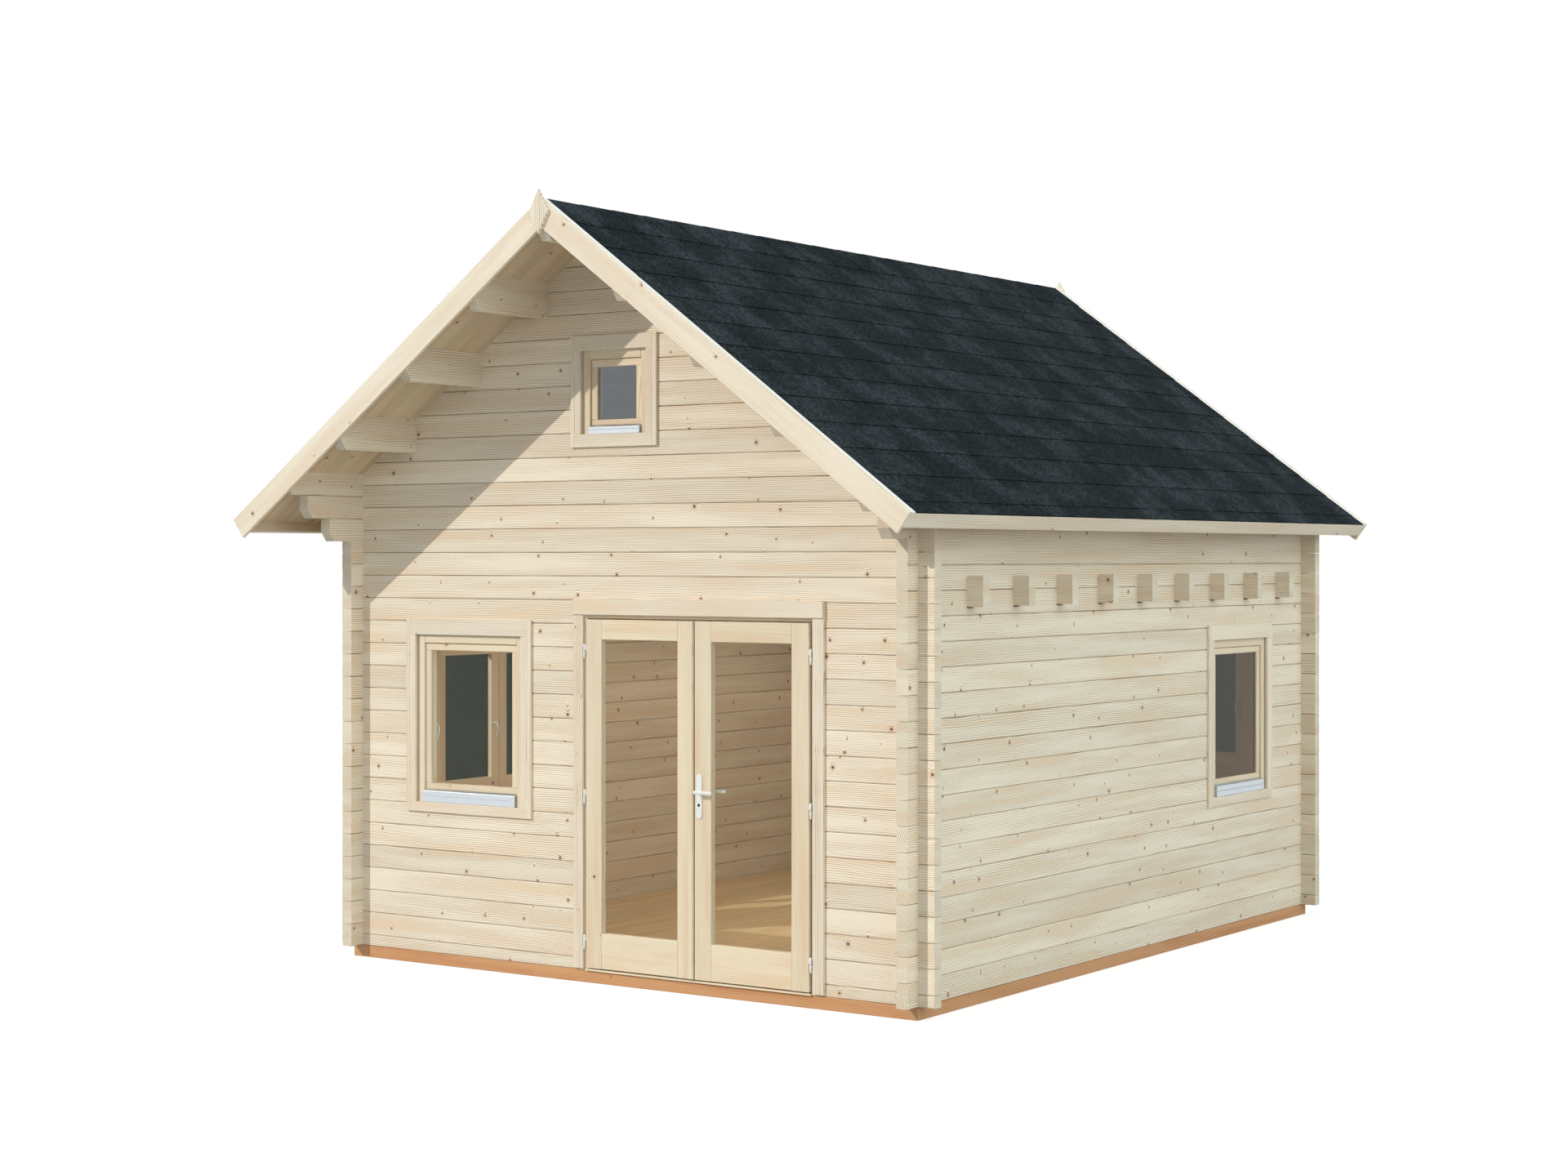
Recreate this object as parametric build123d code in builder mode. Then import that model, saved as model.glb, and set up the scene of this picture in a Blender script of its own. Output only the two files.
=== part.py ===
from build123d import *
import os
from math import cos, radians, sin, tan

os.makedirs("parts", exist_ok=True)

# A log garden house with a glazed double door, in millimetres.
# X runs along the front from left to right, Y from the front to the back, Z up from the ground.
# The origin lies on the ground, midway between the side walls and midway between the gable boards.

# Walls
log_height = 135.0
log_thickness = 70.0
log_tail = 100.0
house_width = 3990.0
house_depth = 4990.0
full_side_logs = 20
top_log_face = 83.0

# Foundation and floor
foundation_height = 70.0
foundation_width = 70.0
floor_joist_width = 45.0
floor_joist_spacing = 500.0
floor_board_thickness = 19.0
floor_wall_gap = 5.0

# Loft
loft_joist_width = 70.0
loft_joist_height = 165.0
loft_joist_base = 2070.0
loft_joist_spacing = 500.0
loft_joist_start = 498.0
loft_board_thickness = 19.0
hatch_length = 800.0
hatch_edge = 250.0

# Roof
roof_pitch = 36.3
front_overhang = 652.0
back_overhang = 210.0
eave_overhang = 349.0
roof_board_thickness = 19.0
shingle_thickness = 8.0
ridge_cap_reach = 176.0
purlin_width = 70.0
purlin_height = 196.0
purlin_start = 514.0
purlin_spacing = 508.0
purlins_per_slope = 3
beam_end_cut_length = 42.0
beam_end_cut_height = 54.0
bracket_reaches = (283.0, 465.0)
back_bracket_reach = 145.0

# Gable boards and fascias
bargeboard_width = 122.0
bargeboard_thickness = 20.0
cover_strip_width = 56.0
cover_strip_height = 8.0
fascia_thickness = 18.0
fascia_height = 95.0
finial_half_width = 66.0
finial_half_height = 119.0
finial_drop = 68.0
finial_thickness = 20.0

# Doorway and its frame
door_centre = 566.8
door_pair_width = 1516.0
leaf_base = 18.0
leaf_top = 1984.0
leaf_thickness = 40.0
leaf_meeting_gap = 7.0
leaf_hinge_gap = 24.0
leaf_frame_gap = 8.0
leaf_stop_gap = 6.0
stop_cover = 15.0
jamb_width = 52.0
door_head_logs = 15.5
casing_thickness = 18.0
door_casing_width = 69.0
door_head_board_base = 2010.0
door_head_board_height = 93.0
door_head_board_thickness = 26.0
door_sill_thickness = 10.0
door_sill_stop = 33.0

# Door leaves
stile_width = 112.0
top_rail_height = 112.0
bottom_rail_height = 200.0
pane_thickness = 8.0
pane_groove = 12.0
door_pane_setback = 14.0
cover_strip_on_leaf_width = 36.0
cover_strip_on_leaf_thickness = 12.0

# Hinges and lever handle
knuckle_radius = 6.0
knuckle_height = 42.0
knuckle_gap = 0.3
hinge_pin_radius = 3.0
hinge_pin_clearance = 0.1
hinge_pin_length = 30.0
hinge_heights = (162.5, 983.0, 1805.0)
hinge_arm_width = 8.0
hinge_arm_height = 30.0
handle_plate_width = 38.0
handle_plate_height = 246.0
handle_plate_base = 902.0
handle_plate_thickness = 8.0
handle_from_edge = 34.0
lever_height = 1050.0
lever_length = 116.0
lever_bar_height = 20.0
lever_bar_thickness = 12.0
lever_standoff = 32.0
lever_neck_radius = 8.0
spindle_radius = 4.0
spindle_clearance = 1.0
lever_plate_gap = 1.0

# Windows
window_side_board = 74.0
window_frame_hidden = 20.0
window_frame_shown = 50.0
window_frame_setback = 6.0
window_frame_depth = 60.0
sash_setback = 18.0
sash_width = 44.0
window_pane_setback = 30.0
meeting_stile_width = 147.0
drip_projection = 12.0
drip_slope = 10.0

side_window_width = 957.0
double_window_width = 1360.0
window_height = 1143.0
window_top_board = 96.0
window_bottom_board = 58.0
window_drip_height = 77.0
window_pane_base = 109.0
front_window_shift = 60.6
front_window_base = 832.0
right_window_from_back = 1057.0
left_window_from_front = 1259.0
side_window_base = 765.0
back_window_inset = 795.0

gable_window_width = 610.0
gable_window_height = 630.0
gable_window_drop = 662.0
gable_top_board = 84.0
gable_bottom_board = 73.0
gable_drip_height = 51.0
gable_pane_base = 82.0

# Lines that the sizes above give
slope = tan(radians(roof_pitch))
plumb = 1 / cos(radians(roof_pitch))
half_width = house_width / 2
inner_half_width = half_width - log_thickness
tail_end = half_width + log_tail
length = front_overhang + house_depth + back_overhang
front_face = front_overhang - length / 2
back_face = front_face + house_depth
gable_front = -length / 2
gable_back = length / 2
front_inner = front_face + log_thickness
back_inner = back_face - log_thickness
wall_base = foundation_height
roof_seat = wall_base + full_side_logs * log_height + top_log_face
eave_edge = half_width + eave_overhang
beam_front = gable_front + bargeboard_thickness
beam_back = gable_back - bargeboard_thickness
loft_joist_run = house_depth - loft_joist_start - loft_joist_width - log_thickness
loft_joist_count = int(loft_joist_run // loft_joist_spacing) + 1
loft_floor_base = wall_base + loft_joist_base + loft_joist_height
door_split = wall_base + door_head_logs * log_height
door_casing_edge = door_centre - door_pair_width / 2 - leaf_hinge_gap - door_casing_width
front_window_centre = (door_casing_edge - half_width) / 2 + front_window_shift


def under_roof(x):
    """Height of the roof boards' underside at a distance from the middle."""
    return roof_seat + (half_width - abs(x)) * slope


def over_boards(x):
    """Height of the roof boards' top at a distance from the middle."""
    return under_roof(x) + roof_board_thickness * plumb


def at_eave(side, depth, back):
    """A point square down from the roof boards' top at their foot, and back up the slope."""
    rise = sin(radians(roof_pitch))
    run = cos(radians(roof_pitch))
    foot = over_boards(eave_edge)
    return (side * (eave_edge - depth * rise - back * run), foot - depth * run + back * rise)


def front_plane(y):
    """A plane across the house at y, with +X to the right, +Z up, and its normal to the front."""
    return Plane(origin=(0, y, 0), x_dir=(1, 0, 0), z_dir=(0, -1, 0))


def back_plane(y):
    """A plane across the house at y, seen from behind, with its normal to the back."""
    return Plane(origin=(0, y, 0), x_dir=(-1, 0, 0), z_dir=(0, 1, 0))


def right_plane(x):
    """A plane along the house at x, seen from the right, with +Y to the right."""
    return Plane(origin=(x, 0, 0), x_dir=(0, 1, 0), z_dir=(1, 0, 0))


def left_plane(x):
    """A plane along the house at x, seen from the left, with +Y to the left."""
    return Plane(origin=(x, 0, 0), x_dir=(0, -1, 0), z_dir=(-1, 0, 0))


def block(low, high):
    """A box between two corners."""
    size = [high[i] - low[i] for i in range(3)]
    with BuildPart() as made:
        with BuildSketch(Plane.XY.offset(low[2])):
            with Locations(((low[0] + high[0]) / 2, (low[1] + high[1]) / 2)):
                Rectangle(size[0], size[1])
        extrude(amount=size[2])
    return made.part


def prism(points, plane, amount):
    """A polygon drawn on a plane and drawn out along the plane's normal."""
    with BuildPart() as made:
        with BuildSketch(plane):
            with BuildLine():
                Polyline(*points, close=True)
            make_face()
        extrude(amount=amount)
    return made.part


def save(part, name):
    """Label a finished piece and write it."""
    part.label = name
    export_step(part, f"parts/{name}.step")


# Foundation: two long beams, and two short ones between them
beam_inner = half_width - foundation_width
for side, name in ((-1, "foundation_left"), (1, "foundation_right")):
    edges = sorted((side * half_width, side * beam_inner))
    save(block((edges[0], front_face, 0), (edges[1], back_face, foundation_height)), name)
for start, name in ((front_face, "foundation_front"), (back_face - foundation_width, "foundation_back")):
    low = (-beam_inner, start, 0)
    save(block(low, (beam_inner, start + foundation_width, foundation_height)), name)

# Floor: joists between the long beams, boards on top of them
floor_run = house_depth - 2 * foundation_width
floor_joist_count = int(floor_run // floor_joist_spacing)
first_floor_joist = (front_face + back_face - (floor_joist_count - 1) * floor_joist_spacing) / 2
with BuildPart() as floor_joists:
    with BuildSketch(Plane.XY):
        for number in range(floor_joist_count):
            with Locations((0, first_floor_joist + number * floor_joist_spacing)):
                Rectangle(2 * beam_inner, floor_joist_width)
    extrude(amount=foundation_height)
save(floor_joists.part, "floor_joists")

floor_top = foundation_height + floor_board_thickness
floor_edge = inner_half_width - floor_wall_gap
floor_front = front_inner + floor_wall_gap
floor_back = back_inner - floor_wall_gap
floor_boards = block((-floor_edge, floor_front, foundation_height), (floor_edge, floor_back, floor_top))
save(floor_boards, "floor_boards")


# Long beams of the roof, with their lower end corners cut off
def long_beam(points, base):
    """A beam that runs from gable board to gable board, its lower end corners sloped."""
    with BuildPart() as made:
        with BuildSketch(front_plane(beam_back)):
            with BuildLine():
                Polyline(*points, close=True)
            make_face()
        extrude(amount=beam_back - beam_front)
        with BuildSketch(right_plane(-half_width)):
            for end, inward in ((beam_front, 1), (beam_back, -1)):
                with BuildLine():
                    Polyline(
                        (end, base),
                        (end + inward * beam_end_cut_length, base),
                        (end, base + beam_end_cut_height),
                        close=True,
                    )
                make_face()
        extrude(amount=house_width, mode=Mode.SUBTRACT)
    return made.part


ridge_half = purlin_width / 2
ridge_base = under_roof(0) - purlin_height
ridge_beam = long_beam(
    [
        (-ridge_half, ridge_base),
        (ridge_half, ridge_base),
        (ridge_half, under_roof(ridge_half)),
        (0, under_roof(0)),
        (-ridge_half, under_roof(ridge_half)),
    ],
    ridge_base,
)
save(ridge_beam, "ridge_beam")


def purlin(side, number):
    """One purlin, with its top sloped to the roof boards."""
    inner = purlin_start + number * purlin_spacing - purlin_width / 2
    outer = inner + purlin_width
    base = under_roof(inner) - purlin_height
    points = [(side * inner, base), (side * outer, base)]
    points += [(side * outer, under_roof(outer)), (side * inner, under_roof(inner))]
    return long_beam(points, base)


with BuildPart() as purlins:
    for side in (-1, 1):
        for number in range(purlins_per_slope):
            add(purlin(side, number))
save(purlins.part, "purlins")

# Loft joists, let through both side walls
with BuildPart() as loft_joists:
    with BuildSketch(Plane.XY.offset(wall_base + loft_joist_base)):
        for number in range(loft_joist_count):
            near = front_face + loft_joist_start + number * loft_joist_spacing
            with Locations((0, near + loft_joist_width / 2)):
                Rectangle(2 * tail_end, loft_joist_width)
    extrude(amount=loft_joist_height)
save(loft_joists.part, "loft_joists")

hatch_front = front_face + loft_joist_start + (loft_joist_count - 2) * loft_joist_spacing + loft_joist_width
hatch_back = hatch_front + loft_joist_spacing - loft_joist_width
with BuildPart() as loft_floor:
    with BuildSketch(Plane.XY.offset(loft_floor_base)):
        with Locations((0, (floor_front + floor_back) / 2)):
            Rectangle(2 * floor_edge, floor_back - floor_front)
        with Locations((-floor_edge + hatch_edge + hatch_length / 2, (hatch_front + hatch_back) / 2)):
            Rectangle(hatch_length, hatch_back - hatch_front, mode=Mode.SUBTRACT)
    extrude(amount=loft_board_thickness)
save(loft_floor.part, "loft_floor")


# Windows: each is drawn from outside on its wall's own plane, with local X along the wall, local Y up
class Window:
    """Sizes and place of one window, on the outside plane of its wall."""

    def __init__(self, plane, centre, base, width, height, boards, drip, pane_base, sashes=1):
        self.plane = plane
        self.left = centre - width / 2
        self.right = centre + width / 2
        self.base = wall_base + base
        self.top = self.base + height
        self.bottom_board, self.top_board = boards
        self.drip = drip
        self.pane_base = self.base + self.bottom_board + pane_base
        self.sashes = sashes
        self.casing_left = self.left + window_side_board
        self.casing_right = self.right - window_side_board
        self.casing_base = self.base + self.bottom_board
        self.casing_top = self.top - self.top_board
        self.hole = (
            self.casing_left - window_frame_hidden,
            self.casing_right + window_frame_hidden,
            self.casing_base - window_frame_hidden,
            self.casing_top + window_frame_hidden,
        )
        self.frame_left = self.casing_left + window_frame_shown
        self.frame_right = self.casing_right - window_frame_shown
        self.frame_top = self.casing_top - window_frame_shown
        self.drip_top = self.casing_base + drip
        self.panes = self.pane_openings()

    def pane_openings(self):
        """Left, right, base and top of what shows of each pane."""
        left = self.frame_left + sash_width
        right = self.frame_right - sash_width
        top = self.frame_top - sash_width
        if self.sashes == 1:
            return [(left, right, self.pane_base, top)]
        middle = (left + right) / 2
        return [
            (left, middle - meeting_stile_width / 2, self.pane_base, top),
            (middle + meeting_stile_width / 2, right, self.pane_base, top),
        ]

    def rectangle(self, left, right, base, top, **options):
        """A rectangle by its edges, in the sketch that is open."""
        with Locations(((left + right) / 2, (base + top) / 2)):
            Rectangle(right - left, top - base, **options)

    def casing(self):
        """Boards round the window on the wall's face."""
        with BuildPart() as made:
            with BuildSketch(self.plane):
                self.rectangle(self.left, self.right, self.base, self.top)
                inner = (self.casing_left, self.casing_right, self.casing_base, self.casing_top)
                self.rectangle(*inner, mode=Mode.SUBTRACT)
            extrude(amount=casing_thickness)
        return made.part

    def frame(self):
        """Frame with its sash, grooved for the panes."""
        front = -window_frame_setback
        with BuildPart() as made:
            with BuildSketch(self.plane.offset(front)):
                self.rectangle(*self.hole)
            extrude(amount=-window_frame_depth)
            with BuildSketch(self.plane.offset(front)):
                shown = (self.frame_left, self.frame_right, self.drip_top, self.frame_top)
                self.rectangle(*shown)
            extrude(amount=-(sash_setback - window_frame_setback), mode=Mode.SUBTRACT)
            with BuildSketch(self.plane.offset(front)):
                for opening in self.panes:
                    self.rectangle(*opening)
            extrude(amount=-window_frame_depth, mode=Mode.SUBTRACT)
            with BuildSketch(self.plane.offset(-window_pane_setback)):
                for opening in self.panes:
                    self.rectangle(*self.grooved(opening))
            extrude(amount=-pane_thickness, mode=Mode.SUBTRACT)
        return made.part

    def grooved(self, opening):
        """An opening's edges, let into the sash all round."""
        left, right, base, top = opening
        return (left - pane_groove, right + pane_groove, base - pane_groove, top + pane_groove)

    def glass(self):
        """The panes."""
        with BuildPart() as made:
            with BuildSketch(self.plane.offset(-window_pane_setback)):
                for opening in self.panes:
                    self.rectangle(*self.grooved(opening))
            extrude(amount=-pane_thickness)
        return made.part

    def drip_profile(self):
        """Metal profile over the frame's lower rail, sloped to throw off the rain."""
        origin = self.plane.from_local_coords((self.frame_left, 0, 0))
        section = Plane(origin, x_dir=self.plane.z_dir, z_dir=self.plane.x_dir)
        rise = 1 if section.y_dir.Z > 0 else -1
        back = -window_frame_setback
        points = [
            (back, rise * self.casing_base),
            (drip_projection, rise * self.casing_base),
            (drip_projection, rise * (self.drip_top - drip_slope)),
            (back, rise * self.drip_top),
        ]
        return prism(points, section, self.frame_right - self.frame_left)

    def cutter(self):
        """The hole through the wall."""
        with BuildPart() as made:
            with BuildSketch(self.plane):
                self.rectangle(*self.hole)
            extrude(amount=-log_thickness)
        return made.part


side_boards = (window_bottom_board, window_top_board)
gable_boards = (gable_bottom_board, gable_top_board)


def wall_window(plane, centre, base, width, sashes=1):
    """One of the windows of the usual height."""
    sizes = (window_height, side_boards, window_drip_height, window_pane_base)
    return Window(plane, centre, base, width, *sizes, sashes=sashes)


front_window = wall_window(
    front_plane(front_face), front_window_centre, front_window_base, side_window_width
)
right_window = wall_window(
    right_plane(half_width), back_face - right_window_from_back, side_window_base, side_window_width
)
left_window = wall_window(
    left_plane(-half_width), -front_face - left_window_from_front, side_window_base, double_window_width, 2
)
back_window = wall_window(
    back_plane(back_face), back_window_inset - half_width, front_window_base, side_window_width
)
gable_window_base = under_roof(0) - wall_base - gable_window_drop - gable_window_height
gable_window = Window(
    front_plane(front_face), 0, gable_window_base, gable_window_width, gable_window_height,
    gable_boards, gable_drip_height, gable_pane_base,
)
windows = {
    "front": front_window,
    "right": right_window,
    "left": left_window,
    "back": back_window,
    "gable": gable_window,
}
for name, window in windows.items():
    save(window.frame(), f"{name}_window_frame")
with BuildPart() as window_casings:
    for window in windows.values():
        add(window.casing())
save(window_casings.part, "window_casings")
with BuildPart() as window_glass:
    for window in windows.values():
        add(window.glass())
save(window_glass.part, "window_glass")
with BuildPart() as window_drips:
    for window in windows.values():
        add(window.drip_profile())
save(window_drips.part, "window_drips")

# Doorway lines, from the outside of the jambs inwards
leaf_left = door_centre - door_pair_width / 2
leaf_right = door_centre + door_pair_width / 2
jamb_face_left = leaf_left - leaf_frame_gap
jamb_face_right = leaf_right + leaf_frame_gap
doorway_left = jamb_face_left - jamb_width
doorway_right = jamb_face_right + jamb_width
leaf_front = front_face - casing_thickness
leaf_back = leaf_front + leaf_thickness
stop_front = leaf_back + leaf_stop_gap
leaf_low = wall_base + leaf_base
leaf_high = wall_base + leaf_top
head_base = leaf_high + leaf_frame_gap

# Walls across the house
with BuildPart() as front_wall_left:
    with BuildSketch(front_plane(front_face)):
        with Locations(((-tail_end + doorway_left) / 2, (wall_base + door_split) / 2)):
            Rectangle(doorway_left + tail_end, door_split - wall_base)
    extrude(amount=-log_thickness)
    add(front_window.cutter(), mode=Mode.SUBTRACT)
save(front_wall_left.part, "front_wall_left")

with BuildPart() as front_wall_right:
    with BuildSketch(front_plane(front_face)):
        with Locations(((doorway_right + tail_end) / 2, (wall_base + door_split) / 2)):
            Rectangle(tail_end - doorway_right, door_split - wall_base)
    extrude(amount=-log_thickness)
save(front_wall_right.part, "front_wall_right")


def gabled_wall(plane, base):
    """A wall across the house from base up to the roof boards, cut out round the roof's long beams."""
    with BuildPart() as made:
        with BuildSketch(plane):
            with BuildLine():
                Polyline(
                    (-tail_end, base),
                    (tail_end, base),
                    (tail_end, under_roof(tail_end)),
                    (0, under_roof(0)),
                    (-tail_end, under_roof(tail_end)),
                    close=True,
                )
            make_face()
        extrude(amount=-log_thickness)
        add(ridge_beam, mode=Mode.SUBTRACT)
        add(purlins.part, mode=Mode.SUBTRACT)
    return made.part


with BuildPart() as front_gable:
    add(gabled_wall(front_plane(front_face), door_split))
    add(gable_window.cutter(), mode=Mode.SUBTRACT)
save(front_gable.part, "front_gable")

with BuildPart() as back_wall:
    add(gabled_wall(back_plane(back_face), wall_base))
    add(back_window.cutter(), mode=Mode.SUBTRACT)
save(back_wall.part, "back_wall")


# Walls along the house: a run between the cross walls, and log ends outside them
def log_ends(face, outward, reaches, roof_end):
    """Outline of the log ends outside a cross wall, stepping out as brackets under the eave."""
    step_count = len(reaches)
    first_bracket = wall_base + (full_side_logs - step_count) * log_height
    points = [(face, wall_base), (face + outward * log_tail, wall_base)]
    points.append((face + outward * log_tail, first_bracket))
    height = first_bracket
    for reach in [face + outward * step for step in reaches] + [roof_end]:
        points.append((reach - outward * beam_end_cut_length, height))
        points.append((reach, height + beam_end_cut_height))
        height += log_height
        points.append((reach, height))
    points[-1] = (roof_end, under_roof(inner_half_width))
    points.append((face, under_roof(inner_half_width)))
    return points


with BuildPart() as roof_space:
    with BuildSketch(front_plane(beam_back + log_tail)):
        with BuildLine():
            Polyline(
                (-tail_end, under_roof(tail_end)),
                (0, under_roof(0)),
                (tail_end, under_roof(tail_end)),
                (tail_end, over_boards(0)),
                (-tail_end, over_boards(0)),
                close=True,
            )
        make_face()
    extrude(amount=length + log_tail)


def side_wall(side, window):
    """A wall along the house with the log ends past its corners."""
    start = half_width if side > 0 else -inner_half_width
    top = under_roof(inner_half_width)
    with BuildPart() as made:
        with BuildSketch(right_plane(start)):
            with Locations(((front_inner + back_inner) / 2, (wall_base + top) / 2)):
                Rectangle(back_inner - front_inner, top - wall_base)
            with BuildLine():
                Polyline(*log_ends(front_face, -1, bracket_reaches, beam_front), close=True)
            make_face()
            with BuildLine():
                Polyline(*log_ends(back_face, 1, (back_bracket_reach,), beam_back), close=True)
            make_face()
        extrude(amount=-log_thickness)
        add(window.cutter(), mode=Mode.SUBTRACT)
        add(loft_joists.part, mode=Mode.SUBTRACT)
        add(roof_space.part, mode=Mode.SUBTRACT)
    return made.part


save(side_wall(-1, left_window), "left_wall")
save(side_wall(1, right_window), "right_wall")

# Roof boards, shingles and ridge cap
shingle_front = gable_front + cover_strip_width
shingle_back = gable_back - cover_strip_width
shingle_rise = shingle_thickness * plumb
for side, name in ((-1, "left"), (1, "right")):
    boards = [(0, under_roof(0)), at_eave(side, roof_board_thickness, fascia_thickness)]
    boards += [at_eave(side, 0, fascia_thickness), (0, over_boards(0))]
    save(prism(boards, front_plane(beam_back), beam_back - beam_front), f"{name}_roof_boards")
    shingles = [(0, over_boards(0)), at_eave(side, 0, fascia_thickness)]
    shingles += [at_eave(side, -shingle_thickness, fascia_thickness), (0, over_boards(0) + shingle_rise)]
    save(prism(shingles, front_plane(shingle_back), shingle_back - shingle_front), f"{name}_shingles")
cap_base = over_boards(ridge_cap_reach) + shingle_rise
cap_top = over_boards(0) + shingle_rise
ridge_cap = prism(
    [
        (-ridge_cap_reach, cap_base),
        (0, cap_top),
        (ridge_cap_reach, cap_base),
        (ridge_cap_reach, cap_base + shingle_rise),
        (0, cap_top + shingle_rise),
        (-ridge_cap_reach, cap_base + shingle_rise),
    ],
    front_plane(shingle_back),
    shingle_back - shingle_front,
)
save(ridge_cap, "ridge_cap")


# Gable boards with their cover strips, fascias and pointed boards
def bargeboard(side, plane, outward):
    """A sloping board along one gable edge, square cut below, with a strip beside the shingles."""
    ridge = over_boards(0)
    top = ridge + cover_strip_height * plumb
    face = [(0, top), at_eave(side, -cover_strip_height, 0), at_eave(side, bargeboard_width, 0)]
    face.append((0, ridge - bargeboard_width * plumb))
    strip = [(0, ridge), at_eave(side, 0, fascia_thickness)]
    strip += [at_eave(side, -cover_strip_height, fascia_thickness), (0, top)]
    with BuildPart() as made:
        with BuildSketch(plane):
            with BuildLine():
                Polyline(*face, close=True)
            make_face()
        extrude(amount=-outward * bargeboard_thickness)
        with BuildSketch(plane):
            with BuildLine():
                Polyline(*strip, close=True)
            make_face()
        extrude(amount=-outward * cover_strip_width)
    return made.part


for side, name in ((-1, "left"), (1, "right")):
    save(bargeboard(side, front_plane(gable_front), 1), f"front_{name}_bargeboard")
    save(bargeboard(side, front_plane(gable_back), -1), f"back_{name}_bargeboard")

fascia_low = fascia_height - shingle_thickness
with BuildPart() as fascias:
    with BuildSketch(front_plane(beam_back)):
        for side in (-1, 1):
            with BuildLine():
                Polyline(
                    at_eave(side, -shingle_thickness, 0),
                    at_eave(side, fascia_low, 0),
                    at_eave(side, fascia_low, fascia_thickness),
                    at_eave(side, -shingle_thickness, fascia_thickness),
                    close=True,
                )
            make_face()
    extrude(amount=beam_back - beam_front)
save(fascias.part, "fascias")

finial_centre = over_boards(0) - finial_drop
finial_points = [
    (0, finial_centre - finial_half_height),
    (finial_half_width, finial_centre),
    (0, finial_centre + finial_half_height),
    (-finial_half_width, finial_centre),
]
save(prism(finial_points, front_plane(gable_front), finial_thickness), "front_finial")
save(prism(finial_points, back_plane(gable_back), finial_thickness), "back_finial")

# Door frame: jambs, head and sill in one ring, with a stop behind the leaves
with BuildPart() as door_frame:
    with BuildSketch(front_plane(front_face)):
        with Locations(((doorway_left + doorway_right) / 2, (wall_base + door_split) / 2)):
            Rectangle(doorway_right - doorway_left, door_split - wall_base)
    extrude(amount=-log_thickness)
    with BuildSketch(front_plane(front_face)):
        low = wall_base + door_sill_thickness
        with Locations(((jamb_face_left + jamb_face_right) / 2, (low + head_base) / 2)):
            Rectangle(jamb_face_right - jamb_face_left, head_base - low)
    extrude(amount=-(stop_front - front_face), mode=Mode.SUBTRACT)
    with BuildSketch(front_plane(front_face)):
        low = wall_base + door_sill_stop
        high = leaf_high - stop_cover
        with Locations((door_centre, (low + high) / 2)):
            Rectangle(door_pair_width - 2 * stop_cover, high - low)
    extrude(amount=-log_thickness, mode=Mode.SUBTRACT)
    with BuildSketch(front_plane(front_face)):
        with Locations((door_centre, wall_base + door_sill_thickness / 2)):
            Rectangle(jamb_face_right - jamb_face_left, door_sill_thickness)
    extrude(amount=casing_thickness)
save(door_frame.part, "door_frame")

casing_inner_left = leaf_left - leaf_hinge_gap
casing_inner_right = leaf_right + leaf_hinge_gap
head_board_base = wall_base + door_head_board_base
with BuildPart() as door_casing:
    with BuildSketch(front_plane(front_face)):
        low = wall_base + door_sill_thickness
        for edge, outward in ((casing_inner_left, -1), (casing_inner_right, 1)):
            with Locations((edge + outward * door_casing_width / 2, (low + head_board_base) / 2)):
                Rectangle(door_casing_width, head_board_base - low)
    extrude(amount=casing_thickness)
    with BuildSketch(front_plane(front_face)):
        with Locations((door_centre, head_board_base + door_head_board_height / 2)):
            width = casing_inner_right - casing_inner_left + 2 * door_casing_width
            Rectangle(width, door_head_board_height)
    extrude(amount=door_head_board_thickness)
save(door_casing.part, "door_casing")

# Leaves: the cover strip stands on the left one, so that each leaf can open by itself
meeting_line = door_centre - leaf_meeting_gap / 2
leaves = {
    "left": (leaf_left, meeting_line),
    "right": (meeting_line + leaf_meeting_gap, leaf_right),
}
pane_low = leaf_low + bottom_rail_height
pane_high = leaf_high - top_rail_height
handle_x = leaves["right"][0] + handle_from_edge
lever_z = wall_base + lever_height


def pane_edges(name):
    """What shows of a leaf's pane, from left to right."""
    left, right = leaves[name]
    return (left + stile_width, right - stile_width)


def leaf_pane(name):
    """A leaf's pane, let into its groove."""
    left, right = pane_edges(name)
    with BuildPart() as made:
        with BuildSketch(front_plane(leaf_front + door_pane_setback)):
            with Locations(((left + right) / 2, (pane_low + pane_high) / 2)):
                Rectangle(right - left + 2 * pane_groove, pane_high - pane_low + 2 * pane_groove)
        extrude(amount=-pane_thickness)
    return made.part


for name, (left, right) in leaves.items():
    with BuildPart() as leaf:
        with BuildSketch(front_plane(leaf_front)):
            with Locations(((left + right) / 2, (leaf_low + leaf_high) / 2)):
                Rectangle(right - left, leaf_high - leaf_low)
            pane_left, pane_right = pane_edges(name)
            with Locations(((pane_left + pane_right) / 2, (pane_low + pane_high) / 2)):
                Rectangle(pane_right - pane_left, pane_high - pane_low, mode=Mode.SUBTRACT)
        extrude(amount=-leaf_thickness)
        add(leaf_pane(name), mode=Mode.SUBTRACT)
        if name == "left":
            with BuildSketch(front_plane(leaf_front)):
                with Locations((right - cover_strip_on_leaf_width / 2, (leaf_low + leaf_high) / 2)):
                    Rectangle(cover_strip_on_leaf_width, leaf_high - leaf_low)
            extrude(amount=cover_strip_on_leaf_thickness)
        else:
            with BuildSketch(front_plane(leaf_front)):
                with Locations((handle_x, lever_z)):
                    Circle(spindle_radius + spindle_clearance)
            extrude(amount=-leaf_thickness, mode=Mode.SUBTRACT)
    save(leaf.part, f"{name}_door")
    save(leaf_pane(name), f"{name}_door_glass")

# Hinges: a lower half on the jamb and an upper half on the leaf, one above the other on one axis
hinge_y = leaf_front
hinge_axes = {"left": leaf_left - leaf_hinge_gap / 2, "right": leaf_right + leaf_hinge_gap / 2}


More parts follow.
